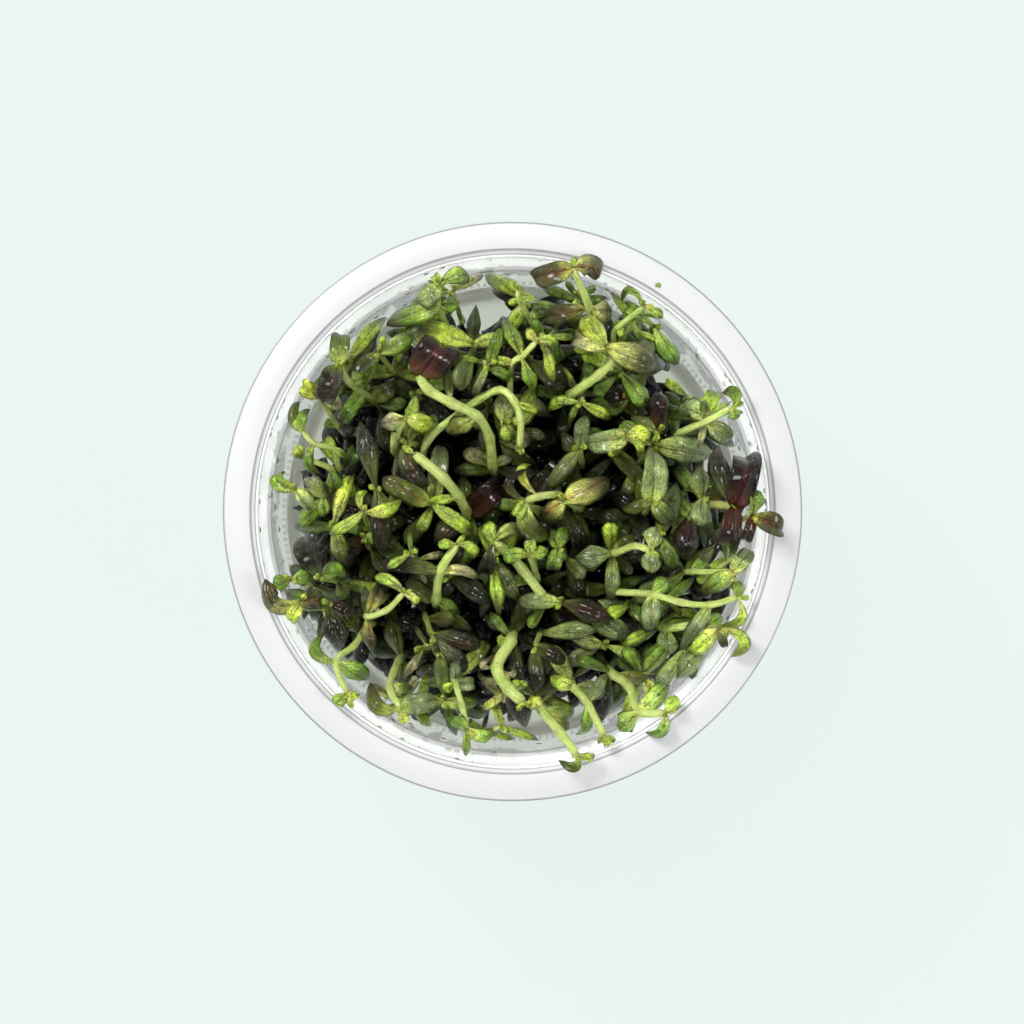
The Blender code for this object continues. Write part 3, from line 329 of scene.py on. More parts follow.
     ((2, 23.8, -8, 43.5, 3.5, "k"), (2, 22.5, 2.6, 41, 1.9, "g"))),
    (1.2, "bright", ((12, -4), (14.3, -5.8, 40), (17, -4.8, 45), (19.1, -5.4, 46.5)),
     ((3, 20.1, -1.8, 47, 3.0, "s"), (3, 19.1, -9.3, 46.5, 2.6, "s"), (1, 8.6, -6.4, 41, 3.6, "s"),
      (1, 17.6, -2.8, 41, 1.8, "o"))),
    (1.1, "bright", ((13.5, -9), (14.2, -11.2, 38), (19.3, -11.5, 44.5), (23.4, -12.6, 47),
        (27.2, -12.9, 49.5), (30.9, -11.8, 51.5)),
     ((2, 19.3, -16.8, 45, 2.8, "s"), (2, 22.6, -8.6, 44.5, 2.4, "g"), (4, 23, -19.7, 48.5, 2.2, "s"),
      (5, 28.3, -15.9, 51.5, 1.4, "b", 2.2, -1.2), (5, 31.7, -8.9, 51.8, 1.8, "g"))),
    (1.0, "green", ((22, -8.5), (25, -8.4, 44), (30.3, -8.3, 49.2)),
     ((2, 32.9, -5.3, 50, 2.1, "s"), (2, 26.2, -11.4, 48.5, 2.5, "g"), (1, 27.4, -6.2, 45, 1.6, "g"))),
    (1.3, "bright", ((18.5, -14.5), (21.4, -16.4, 40), (25.2, -15.8, 45), (28.5, -16.2, 51)),
     ((3, 23.5, -20.6, 50, 2.3, "b"), (3, 30.7, -21.4, 54, 1.5, "b", 2.6, 1.2),
      (3, 29.4, -19.2, 52, 1.2, "r"), (1, 21.9, -20.8, 41, 2.7, "s"))),
    (1.4, "green", ((12, -20), (14.2, -22.9, 40), (16.2, -24.3, 45), (17.5, -27.6, 50), (20.9, -27.7, 52)),
     ((3, 13, -31.2, 50, 2.9, "g"), (3, 22.6, -22.8, 49.5, 2.4, "g"), (4, 22.9, -24.8, 52.5, 2.2, "b"),
      (4, 18, -30.7, 53, 1.5, "g", 1.2, -1.0), (1, 19.6, -23.6, 42, 2.2, "o"))),
    (1.5, "bright", ((2.5, -22), (4.1, -27.6, 44), (6.5, -30.4, 49.5), (8.8, -33.4, 52.6)),
     ((1, 1.6, -25.2, 44.5, 2.1, "b"), (1, 8.9, -29.7, 44.5, 2.6, "o"),
      (3, 6.2, -34.2, 54, 1.3, "o", 1.3, -1.6), (3, 12.1, -33.3, 54, 1.4, "b", 0, -0.6))),
    (1.3, "bright", ((7, -20), (8.6, -24.6, 42), (10.4, -26.6, 45.5), (12.6, -30.9, 50)),
     ((2, 8.5, -31.8, 47.5, 1.6, "g", 1.0, -0.4), (1, 13.4, -24.7, 43.5, 2.6, "s"),
      (1, 5.3, -22.9, 42.5, 2.0, "b"), (2, 13.5, -21.9, 47, 1.5, "s"), (3, 14.2, -32.2, 51.5, 1.3, "b"))),
    (1.9, "bright", ((0.5, -14), (-0.3, -18.2, 39.5), (-2.2, -21.7, 43), (-0.6, -24.6, 45.5),
        (1.5, -26.4, 47)),
     ((2, -2.7, -19.8, 44, 1.0, "p", -2.2, -0.8), (2, 1.3, -20.6, 44, 1.0, "p", 0.6, -1.8),
      (1, -3.1, -17.6, 40.5, 1.7, "b"), (4, 0.3, -28.3, 47.5, 0.9, "b"), (3, 2, -30.4, 43, 3.2, "k"))),
    (1.0, "bright", ((-6.5, -19), (-7.9, -24, 41), (-7, -27, 44.5), (-6.3, -30, 47)),
     ((3, -9.3, -28.2, 47.5, 2.1, "g"), (3, -1.2, -30.3, 48, 1.8, "g", 0, -1.1),
      (3, -6.5, -34.4, 51.5, 1.1, "g"), (1, -5, -24, 42, 1.8, "s"), (1, -10.3, -25.4, 41.5, 1.7, "b"),
      (1, -8.2, -20.4, 41.5, 1.7, "s"))),
    (1.1, "dark", ((10, -2), (8.8, 0.6, 34), (7.3, 1.6, 40)),
     ((2, 14.8, 5.3, 42, 3.5, "r"), (2, 2.4, -1.1, 39.5, 2.9, "r"), (1, 10.6, 0.9, 36, 1.6, "g"))),
    (1.0, "green", ((10, 4.5), (9.8, 6.8, 34), (9.4, 8.7, 40)),
     ((2, 4.6, 3.1, 40.5, 2.3, "s"), (2, 10.1, 14, 42, 2.0, "s"), (1, 6.8, 11.6, 36, 2.4, "o"))),
    (1.0, "dark", ((5.5, -15), (4.2, -17.4, 34), (3.2, -18.9, 39)),
     ((2, 3.3, -25.6, 41, 2.3, "d"), (2, 8.6, -21.5, 40, 2.2, "d"), (1, 12.8, -16.7, 39, 2.7, "s"))),
    (1.0, "dark", ((-13, -13), (-12.2, -15, 34), (-11.3, -17.2, 39.5)),
     ((2, -3, -19.6, 41, 2.7, "d"), (2, -4.2, -23.4, 39, 2.5, "d"), (1, -7.2, -15.2, 39, 2.5, "o"))),
    (1.1, "dark", ((11, -14), (8.8, -13.2, 34), (6.8, -12.7, 39)),
     ((2, 14.6, -15.2, 40.5, 3.3, "d"), (2, 0.2, -12.4, 39, 2.3, "s"), (1, 18.6, -18.8, 38.5, 3.3, "s"),
      (1, 4.8, -18.6, 35, 3.6, "k"))),
)


def linear(*screen_colour):
    """A screen colour from 0 to 255, as the linear values that shaders take."""
    shares = [value / 255 for value in screen_colour]
    return tuple(
        share / 12.92 if share <= 0.04045 else ((share + 0.055) / 1.055) ** 2.4 for share in shares
    )


def colour_property(name, description, screen_colour):
    default = linear(*screen_colour)
    return FloatVectorProperty(
        name=name, description=description, subtype="COLOR", size=3, min=0, max=1, default=default
    )


def share_property(name, description, default):
    return FloatProperty(name=name, description=description, min=0, default=default)


def length_property(name, description, millimetres):
    return FloatProperty(
        name=name, description=description, subtype="DISTANCE", unit="LENGTH", min=0, default=millimetres * MM
    )


def count_property(name, description, default, least=0):
    return IntProperty(name=name, description=description, min=least, default=default)


class BACOPA_PG_cup(bpy.types.PropertyGroup):
    """The clear cup."""

    flange_colour: colour_property("Flange", "Colour of the milky flange", (251, 251, 252))
    wall_colour: colour_property("Wall", "Tint of the clear wall", (253, 251, 252))
    water_colour: colour_property("Water", "Tint of the drops on the wall", (252, 253, 253))
    steps: count_property("Steps", "Segments round the cup", 180, 24)
    drops: count_property("Drops", "Drops of condensation on the wall", 420)
    ribs: count_property("Ribs", "Fine upright ribs low on the wall", 220)
    rib_height: length_property("Rib height", "Height of the middle of the ribs", 19.5)
    rib_reach: length_property("Rib reach", "How far the ribs run up and down from their middle", 4.5)


class BACOPA_PG_gel(bpy.types.PropertyGroup):
    """The gel and the roots in it."""

    gel_colour: colour_property("Gel", "Colour of the cloudy gel", (247, 247, 236))
    root_colour: colour_property("Roots", "Colour of the young roots", (226, 224, 200))
    roots: count_property("Roots", "Roots of each shoot", 4)
    meniscus: length_property("Meniscus", "How far the gel is wetted up the wall", 0.7)


class BACOPA_PG_plant(bpy.types.PropertyGroup):
    """The colours of leaves and stems, and how thick the growth is."""

    young: colour_property("Young leaf", "Bright new growth", (170, 198, 68))
    green: colour_property("Green leaf", "Grown green leaf", (104, 136, 44))
    olive: colour_property("Olive leaf", "Ageing leaf", (82, 94, 30))
    dark: colour_property("Dark leaf", "Old purple-grey leaf", (31, 31, 17))
    silver: colour_property("Grey leaf", "Leaf with a grey bloom", (116, 130, 80))
    maroon: colour_property("Maroon leaf", "Red-brown leaf", (38, 18, 19))
    amber: colour_property("Amber leaf", "Yellowing leaf", (146, 156, 52))
    pale: colour_property("Pale leaf", "Pale, pinkish leaf", (150, 148, 104))
    black: colour_property("Black leaf", "Oldest, nearly black leaf", (15, 15, 10))
    red_rib: colour_property("Red-ribbed leaf", "Green leaf with a red midrib", (66, 66, 36))
    leaf_foot: colour_property("Leaf foot", "Pale foot of a leaf", (212, 230, 116))
    red_foot: colour_property("Red foot", "Reddish foot and midrib", (116, 42, 36))
    leaf_tip: colour_property("Leaf tip", "Purple-brown tip of a leaf", (70, 48, 42))
    stem: colour_property("Young stem", "Pale young stem", (220, 236, 136))
    old_stem: colour_property("Old stem", "Old stem low in the cup", (120, 132, 60))
    thickets: count_property("Low shoots", "Shoots between the tall ones", 150)
    sprigs: count_property("Young shoots", "Slim bright shoots between the others", 95)
    litter: count_property("Litter", "Old leaves that lie on the gel", 640)
    seed: count_property("Seed", "Start of the random draws", 11)


class BACOPA_PG_stage(bpy.types.PropertyGroup):
    """The floor, the lights and the camera."""

    floor_colour: colour_property("Floor", "Colour of the pale floor", (234, 245, 239))
    camera_height: length_property("Camera height", "Camera above the flange", 700)
    sky: share_property("Sky", "Strength of the even light at its horizon", 2.0)
    zenith: share_property("Zenith", "Even light from above, against that from the sides", 0.05)
    softbox: FloatProperty(
        name="Softbox", description="Power of the large light", unit="POWER", min=0, default=5.4
    )
    glow: share_property("Floor glow", "Share of its own light in the floor", 0.94)


class Wire:
    """A shader socket: arithmetic on it adds Math nodes."""

    def __init__(self, finish, socket):
        self.finish = finish
        self.socket = socket

    def __add__(self, other):
        return self.finish.step("ADD", self, other)

    def __radd__(self, other):
        return self.finish.step("ADD", other, self)

    def __sub__(self, other):
        return self.finish.step("SUBTRACT", self, other)

    def __rsub__(self, other):
        return self.finish.step("SUBTRACT", other, self)

    def __mul__(self, other):
        return self.finish.step("MULTIPLY", self, other)

    def __rmul__(self, other):
        return self.finish.step("MULTIPLY", other, self)

    def __truediv__(self, other):
        return self.finish.step("DIVIDE", self, other)

    def __pow__(self, other):
        return self.finish.step("POWER", self, other)

    def __abs__(self):
        return self.finish.step("ABSOLUTE", self)

    def sine(self):
        return self.finish.step("SINE", self)

    def clamp(self):
        """Held between 0 and 1."""
        return self.finish.step("MINIMUM", self.finish.step("MAXIMUM", self, 0.0), 1.0)


class Finish:
    """The nodes of a new material, or of the given world, with one way to add them."""

    def __init__(self, name, owner=None, shader="Principled BSDF"):
        self.owner = owner or bpy.data.materials.new(name)
        self.owner.use_nodes = True
        self.tree = self.owner.node_tree
        self.shader = self.tree.nodes[shader]

    def feed(self, socket, value):
        if isinstance(value, Wire):
            self.tree.links.new(value.socket, socket)
        else:
            socket.default_value = value

    def node(self, kind, settings=None, sockets=None, output=0):
        made = self.tree.nodes.new(kind)
        for name, value in (settings or {}).items():
            setattr(made, name, value)
        for name, value in (sockets or {}).items():
            self.feed(made.inputs[name], value)
        return Wire(self, made.outputs[output])

    def step(self, operation, *values):
        """One Math node on any values."""
        return self.node("ShaderNodeMath", {"operation": operation}, dict(enumerate(values)))

    def attribute(self, name, output="Vector"):
        return self.node("ShaderNodeAttribute", {"attribute_name": name}, output=output)

    def place(self):
        """A point of the object, in its own metres."""
        return self.node("ShaderNodeTexCoord", output="Object")

    def parts_of(self, vector):
        """The three numbers of a vector."""
        first = self.node("ShaderNodeSeparateXYZ", {}, {0: vector})
        return [Wire(self, socket) for socket in first.socket.node.outputs]

    def joined(self, *numbers):
        """A vector from three numbers."""
        return self.node("ShaderNodeCombineXYZ", {}, dict(enumerate(numbers)))

    def noise(self, scale, detail=3.0, roughness=0.55, place=None):
        sockets = {"Vector": place or self.place(), "Scale": scale, "Detail": detail, "Roughness": roughness}
        return self.node("ShaderNodeTexNoise", {"noise_dimensions": "3D"}, sockets)

    def cells(self, scale):
        return self.node("ShaderNodeTexVoronoi", {"feature": "F1"}, {"Vector": self.place(), "Scale": scale})

    def from_axis(self):
        """Distance from the cup's axis."""
        x, y, _ = self.parts_of(self.place())
        return (x * x + y * y) ** 0.5

    def ring(self, radius, centre, width):
        """1 on a thin ring about the axis, falling to 0 beside it."""
        return (1.0 - abs(radius - centre) / width).clamp()

    def mix(self, first, second, share, blend="MIX"):
        settings = {"data_type": "RGBA", "blend_type": blend}
        return self.node("ShaderNodeMix", settings, {0: share, 6: first, 7: second}, output=2)

    def times(self, colour, factors):
        """A colour multiplied by another."""
        return self.mix(colour, paint(factors), 1.0, "MULTIPLY")

    def bump(self, height, distance, strength=1.0):
        sockets = {"Height": height, "Distance": distance, "Strength": strength}
        return self.node("ShaderNodeBump", {}, sockets)

    def set(self, **values):
        """Sets the shader's own sockets, with _ for a space in their names."""
        for name, value in values.items():
            self.feed(self.shader.inputs[name.replace("_", " ")], value)
        return self.owner


def paint(colour):
    """A colour as a socket takes it."""
    return (*colour, 1.0)


def leaf_finish():
    """Waxy leaf: its tint, a dark midrib, faint side veins, streaks, mottling and wet highlights, with painted
    highlights in pale patches and along the edge, and painted grey sheen specks.
    """
    finish = Finish("bacopa_leaf")
    tint = finish.attribute("tint", "Color")
    along, across, chance = finish.parts_of(finish.attribute("place"))
    from_rib = abs(across)
    rib = (1.0 - from_rib * 8.0).clamp() * (1.0 - along * 0.75).clamp()
    veins = ((along * 46.0 - from_rib * 9.0).sine() * 0.5 + 0.5) ** 6.0 * (1.0 - rib)
    lengthwise = finish.joined(along * 1.5, across * 5.5, chance * 60.0)
    streaks = finish.noise(2.4, 2.0, 0.8, lengthwise)
    blotches = finish.noise(800.0, 2.0, 0.75)
    grain = finish.noise(4200.0, 1.0, 0.9)
    edge = ((from_rib - 0.7) * 4.0).clamp() * 0.35
    margin = ((from_rib - 0.9) * 14.0).clamp()
    tip = ((along - 0.86) * 7.0).clamp() * 0.6
    shade = rib * 0.75 + veins * 0.06 + (blotches - 0.47) * 2.6 + (streaks - 0.48) * 2.0
    shade = (shade + (grain - 0.5) * 3.2 + edge + tip + 0.05).clamp()
    # Painted highlight: lighter patches where streaks and blotches run low, partly paler tissue, and a painted
    # highlight along the very edge.
    light = ((0.44 - streaks) * 4.0 + (0.46 - blotches) * 5.0 + margin).clamp() * 0.8
    # Painted sheen: grey-white specks where fine grain and blotches are high, more of them on leaves with a
    # higher chance.
    bloom_and_sheen = ((grain - 0.5) * 9.0).clamp() * ((blotches - 0.46) * 6.0).clamp()
    colour = finish.mix(tint, finish.times(tint, (0.20, 0.24, 0.12)), shade)
    colour = finish.mix(colour, finish.times(tint, (1.85, 1.8, 1.6)), light)
    colour = finish.mix(colour, paint(linear(158, 166, 138)), bloom_and_sheen * (chance - 0.1).clamp() * 0.6)
    relief = blotches * 1.4 + streaks * 1.6 - rib * 1.6
    return finish.set(
        Base_Color=colour,
        Roughness=(0.22 + (blotches - 0.5) * 0.4 + grain * 0.16).clamp(),
        Normal=finish.bump(relief, 0.00028, 1.0),
        Specular_IOR_Level=0.2,
        Coat_Weight=0.42,
        Coat_Roughness=0.1,
    )


def stem_finish():
    """Pale, juicy stem: fine lengthwise ridges, dashes of darker green and a slightly fuzzy skin."""
    finish = Finish("bacopa_stem")
    tint = finish.attribute("tint", "Color")
    along, around, chance = finish.parts_of(finish.attribute("place"))
    dashes = finish.noise(2.8, 2.0, 0.8, finish.joined(along * 3.0, around * 9.0, chance * 40.0))
    skin = finish.noise(3300.0, 1.0, 0.8)
    blotches = finish.noise(500.0, 1.0)
    shade = ((dashes - 0.47) * 2.6 + (skin - 0.5) * 1.8 + (blotches - 0.5) * 1.6 + 0.05).clamp()
    return finish.set(
        Base_Color=finish.mix(tint, finish.times(tint, (0.40, 0.58, 0.16)), shade),
        Roughness=(0.30 + skin * 0.22).clamp(),
        Normal=finish.bump(skin * 0.6 + dashes * 1.6, 0.00018, 0.9),
        Specular_IOR_Level=0.5,
        Coat_Weight=0.35,
        Coat_Roughness=0.12,
    )


def root_finish(colour):
    """Thin young roots, mottled with a darker tone."""
    finish = Finish("bacopa_root")
    skin = finish.noise(1800.0, 2.0)
    return finish.set(
        Base_Color=finish.mix(paint(colour), paint(linear(170, 160, 120)), (skin * 0.7).clamp()),
        Roughness=0.5,
        Normal=finish.bump(skin, 0.00003),
    )


def flange_finish(colour):
    """Milky moulded flange with faint flow marks, painted grey shade rings at its rim and round its seat, and
    a painted glow of its own colour.
    """
    finish = Finish("cup_flange_plastic")
    cloud = finish.noise(60.0, 3.0)
    grain = finish.noise(1500.0, 2.0)
    radius = finish.from_axis()
    seat_edge = FLANGE_RADIUS - FLANGE_WIDTH
    # Painted shade: thin grey rings stand in for the darker look of the clear rim's edge and of the edges of
    # the seat's groove.
    edge_shade_rings = finish.ring(radius, FLANGE_RADIUS - 0.14 * MM, 0.2 * MM) * 0.8
    edge_shade_rings = edge_shade_rings + finish.ring(radius, seat_edge + 0.1 * MM, 0.2 * MM) * 0.7
    edge_shade_rings = edge_shade_rings + finish.ring(radius, seat_edge - 0.55 * MM, 0.18 * MM) * 0.8
    clean = finish.mix(paint(colour), paint(linear(240, 241, 242)), (cloud * 0.9).clamp())
    ringed = finish.mix(clean, paint(linear(116, 122, 122)), edge_shade_rings.clamp())
    return finish.set(
        # Painted light: the flange gives off its own colour, lifting the shade on it, and its lit colour is
        # dimmed to match.
        Base_Color=finish.times(ringed, (0.42, 0.42, 0.42)),
        Roughness=(0.28 + grain * 0.14).clamp(),
        Transmission_Weight=0.1,
        Emission_Color=ringed,
        Emission_Strength=0.33,
        IOR=PLASTIC_IOR,
        Normal=finish.bump(cloud + grain * 0.15, 0.00004, 0.6),
    )


def wall_finish(settings, name, clearness, glow):
    """Moulded wall, clear or milky, slightly stippled, with upright ribs low on its inside, painted shade
    along the ribs and a painted glow of its own colour.
    """
    finish = Finish(name)
    colour = settings.wall_colour
    x, y, z = finish.parts_of(finish.place())
    stipple = finish.cells(1400.0)
    waves = finish.noise(220.0, 2.0)
    haze = finish.noise(90.0, 1.0)
    low = (1.0 - abs(z - settings.rib_height) / settings.rib_reach).clamp() ** 0.3
    ribs = (finish.step("ARCTAN2", y, x) * settings.ribs).sine().clamp() * low
    clean = finish.mix(paint(colour), paint(linear(246, 247, 247)), (haze * 0.8).clamp())
    return finish.set(
        # Painted shade: the ribs are painted grey.
        Base_Color=finish.mix(clean, paint(linear(214, 216, 214)), ribs * 0.6),
        Roughness=(0.03 + stipple * 0.14).clamp(),
        Transmission_Weight=clearness,
        IOR=PLASTIC_IOR,
        Specular_IOR_Level=0.25,
        Normal=finish.bump(waves + ribs * 4.0, 0.00004, 0.5),
        # Painted light: the wall gives off a glow of its own colour, standing in for light scattered through
        # the plastic.
        Emission_Color=paint(colour),
        Emission_Strength=glow,
    )


def drop_finish(colour):
    """Clear water with a slightly uneven skin."""
    finish = Finish("condensed_water")
    skin = finish.noise(500.0, 1.0)
    return finish.set(
        Base_Color=finish.mix(paint(colour), paint((1.0, 1.0, 1.0)), skin),
        Roughness=0.02,
        Transmission_Weight=1.0,
        IOR=WATER_IOR,
        Normal=finish.bump(skin, 0.00003, 0.4),
    )


def gel_finish(colour):
    """Cloudy gel with a wet, gently uneven top."""
    finish = Finish("culture_gel")
    cloud = finish.noise(110.0, 3.0)
    ripple = finish.noise(260.0, 1.0)
    return finish.set(
        Base_Color=finish.mix(paint(colour), paint(linear(238, 238, 224)), (cloud * 0.9).clamp()),
        Roughness=(0.30 + cloud * 0.2).clamp(),
        Transmission_Weight=0.86,
        IOR=GEL_IOR,
        Normal=finish.bump(ripple, 0.0002, 0.5),
    )


def floor_finish(colour, glow):
    """Pale even floor that gives off part of its own colour, as a lit sweep does."""
    finish = Finish("studio_floor")
    grain = finish.noise(40.0, 2.0)
    soft = finish.mix(paint(colour), paint([value * 0.99 for value in colour]), grain)
    return finish.set(
        Base_Color=finish.times(soft, [value * (1 - glow) for value in colour]),
        Roughness=0.9,
        Specular_IOR_Level=0.0,
        Emission_Color=paint(colour),
        Emission_Strength=glow,
    )


def plant_finishes():
    """The finishes of stems and leaves, made once for all the shoots."""
    made = [bpy.data.materials.get(name) for name in ("bacopa_stem", "bacopa_leaf")]
    return made if all(made) else (stem_finish(), leaf_finish())


class Growth:
    """The points, faces and paint of one piece while it is put together."""

    def __init__(self):
        self.points = []
        self.faces = []
        self.slots = []
        self.tints = []
        self.places = []

    def add(self, points, faces, slots=None, tints=None, places=None):
        start = len(self.points)
        self.points += points
        self.faces += [tuple(start + index for index in face) for face in faces]
        self.slots += slots or [0] * len(faces)
        self.tints += tints or [(1.0, 1.0, 1.0)] * len(points)
        self.places += places or [(0.0, 0.0, 0.0)] * len(points)

    def piece(self, name, finishes, slot, replaced=None):
        """The finished object, riding on the cup's body."""
        mesh = bpy.data.meshes.new(name)
        mesh.from_pydata(self.points, [], self.faces)
        for finish in finishes:
            mesh.materials.append(finish)
        mesh.polygons.foreach_set("material_index", self.slots)
        mesh.polygons.foreach_set("use_smooth", [True] * len(self.faces))
        tint = mesh.attributes.new("tint", "FLOAT_COLOR", "POINT")
        tint.data.foreach_set("color", [value for colour in self.tints for value in (*colour, 1.0)])
        place = mesh.attributes.new("place", "FLOAT_VECTOR", "POINT")
        place.data.foreach_set("vector", [value for spot in self.places for value in spot])
        mesh.update()
        obj = bpy.data.objects.new(name, mesh)
        bpy.context.scene.collection.objects.link(obj)
        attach(obj, BODY)
        if replaced:
            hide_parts(replaced)
        return obj


def band(start, around):
    """The faces between two rings of points that follow each other from the given number."""
    for step in range(around):
        after = (step + 1) % around
        yield start + step, start + after, start + around + after, start + around + step


def tidied(obj, merge=0.0):
    """Turns the faces outwards, after joining points that are closer than the given distance."""
    shell = bmesh.new()
    shell.from_mesh(obj.data)
    if merge:
        bmesh.ops.remove_doubles(shell, verts=shell.verts, dist=merge)
    bmesh.ops.recalc_face_normals(shell, faces=shell.faces)
    shell.to_mesh(obj.data)
    shell.free()


def lathe(growth, profile, steps, slot_of=lambda radius, height: 0):
    """Adds a surface turned about +Z from a profile of (radius, height), which may end on the axis."""
    points, rings = [], []
    for radius, height in profile:
        if radius < 0.01 * MM:
            rings.append([len(points)])
            points.append(Vector((0, 0, height)))
            continue
        rings.append(list(range(len(points), len(points) + steps)))
        for step in range(steps):
            angle = 2 * math.pi * step / steps
            points.append(Vector((radius * math.cos(angle), radius * math.sin(angle), height)))
    faces, slots = [], []
    for number, (upper, lower) in enumerate(zip(rings, rings[1:])):
        if len(upper) == 1 and len(lower) == 1:
            continue
        for step in range(steps):
            after = (step + 1) % steps
            if len(upper) == 1:
                faces.append((upper[0], lower[step], lower[after]))
            elif len(lower) == 1:
                faces.append((upper[after], upper[step], lower[0]))
            else:
                faces.append((upper[after], upper[step], lower[step], lower[after]))
        middle = [(profile[number][axis] + profile[number + 1][axis]) / 2 for axis in (0, 1)]
        slots += [slot_of(*middle)] * steps
    growth.add(points, faces, slots)


def softened(profile, radius, bends=3):
    """The profile with each inner corner rounded."""
    out = [profile[0]]
    for before, corner, after in zip(profile, profile[1:], profile[2:]):
        corner = Vector(corner)
        start, end = [
            corner + (beside - corner) * min(0.45, radius / max((beside - corner).length, 1e-9))
            for beside in (Vector(before), Vector(after))
        ]
        for bend in range(bends + 1):
            share = bend / bends
            spot = start * (1 - share) ** 2 + corner * 2 * share * (1 - share) + end * share * share
            out.append((spot.x, spot.y))
    out.append(profile[-1])
    return out


def wall_radius(height):
    """The cup's inner radius at a height below its step."""
    low = FLOOR_THICKNESS + CORNER
    share = (height - low) / (STEP_HEIGHT - low)
    return FLOOR_RADIUS + share * (STEP_RADIUS - FLOOR_RADIUS)


def cup_outline():
    """The cup's section: down its outer side and across the underside, then up the inside to the flange."""
    flange_inner = FLANGE_RADIUS - FLANGE_WIDTH
    outer_floor = FLOOR_RADIUS + WALL
    return [
        (flange_inner, CUP_HEIGHT - SEAT_DROP),
        (flange_inner + 0.05 * MM, CUP_HEIGHT),
        (FLANGE_RADIUS, CUP_HEIGHT),
        (FLANGE_RADIUS, CUP_HEIGHT - SKIRT_DEPTH),
        (FLANGE_RADIUS - FLANGE_THICKNESS, CUP_HEIGHT - SKIRT_DEPTH),
        (FLANGE_RADIUS - FLANGE_THICKNESS, CUP_HEIGHT - FLANGE_THICKNESS),
        (MOUTH_RADIUS + WALL, CUP_HEIGHT - FLANGE_THICKNESS - SEAT_DROP),
        (MOUTH_RADIUS + WALL, STEP_HEIGHT),
        (STEP_RADIUS + WALL, STEP_HEIGHT - WALL),
        (outer_floor, CORNER),
        (outer_floor - CORNER, 0),
        (outer_floor - 3 * CORNER, FOOT_HOLLOW),
        (0, FOOT_HOLLOW),
    ], [
        (0, FLOOR_THICKNESS),
        (FLOOR_RADIUS - CORNER, FLOOR_THICKNESS),
        (FLOOR_RADIUS, FLOOR_THICKNESS + CORNER),
        (STEP_RADIUS, STEP_HEIGHT),
        (MOUTH_RADIUS, STEP_HEIGHT + WALL),
        (MOUTH_RADIUS, CUP_HEIGHT - SEAT_DROP),
        (flange_inner, CUP_HEIGHT - SEAT_DROP),
    ]


def make_cup(settings):
    """The clear cup: a milky flange over a clear wall."""
    outside, inside = cup_outline()
    profile = softened(outside, CORNER_ROUNDING) + softened(inside, CORNER_ROUNDING)
    flange_line = MOUTH_RADIUS + 0.6 * MM

    def slot_of(radius, height):
        if radius > flange_line and height > CUP_HEIGHT - SKIRT_DEPTH - 0.5 * MM:
            return 0
        return 2 if height > STEP_HEIGHT + 0.1 * MM else 1

    growth = Growth()
    lathe(growth, profile, settings.steps, slot_of)
    # Each wall finish gives off a painted glow, which stands in for light scattered through the plastic.
    finishes = (
        flange_finish(settings.flange_colour),
        wall_finish(settings, "cup_clear_plastic", clearness=0.94, glow=0.045),
        wall_finish(settings, "cup_milky_plastic", clearness=0.70, glow=0.19),
    )
    tidied(growth.piece("cup_shell", finishes, "clear_plastic", "cup"), 0.001 * MM)


def drop(growth, centre, outward, size, flatness):
    """A drop of water as a low dome on the wall."""
    side = outward.cross(UP)
    if side.length < 0.1:
        side = Vector((1, 0, 0))
    side.normalize()
    up = side.cross(outward).normalized()
    points = []
    for share, height in DROP_RINGS:
        for step in range(DROP_SIDES):
            angle = 2 * math.pi * step / DROP_SIDES
            spread = side * math.cos(angle) + up * math.sin(angle) * DROP_SAG
            points.append(centre + spread * size * share + outward * size * flatness * height)
    points.append(centre + outward * size * flatness)
    faces = [tuple(reversed(range(DROP_SIDES)))]
    for ring in range(len(DROP_RINGS) - 1):
        faces += band(ring * DROP_SIDES, DROP_SIDES)
    last = (len(DROP_RINGS) - 1) * DROP_SIDES
    faces += [(last + step, last + (step + 1) % DROP_SIDES, len(points) - 1) for step in range(DROP_SIDES)]
    growth.add(points, faces)


def make_drops(settings):
    """Condensation: drops on the upper wall, on its ledge and on the wall below."""
    draw = random.Random("drops")
    growth = Growth()
    for _ in range(settings.drops):
        angle = draw.uniform(0, 2 * math.pi)
        band_share = draw.random()
        size = draw.choice(DROP_SIZES) * MM
        inward = Vector((-math.cos(angle), -math.sin(angle), 0))
        facing = inward
        if band_share < 0.2:
            height = draw.uniform(STEP_HEIGHT + 2 * MM, CUP_HEIGHT - 2 * MM)
            radius = MOUTH_RADIUS
        elif band_share < 0.7:
            radius = draw.uniform(STEP_RADIUS + 0.3 * MM, MOUTH_RADIUS - 0.4 * MM)
            height = STEP_HEIGHT + (radius - STEP_RADIUS) / (MOUTH_RADIUS - STEP_RADIUS) * WALL
            facing = UP
        else:
            height = draw.uniform(STEP_HEIGHT - 12 * MM, STEP_HEIGHT - 2 * MM)
            radius = wall_radius(height)
        centre = inward * -radius
        centre.z = height
        drop(growth, centre, facing, size, draw.uniform(0.25, 0.45))
    growth.piece("condensation", (drop_finish(settings.water_colour),), "clear_plastic")


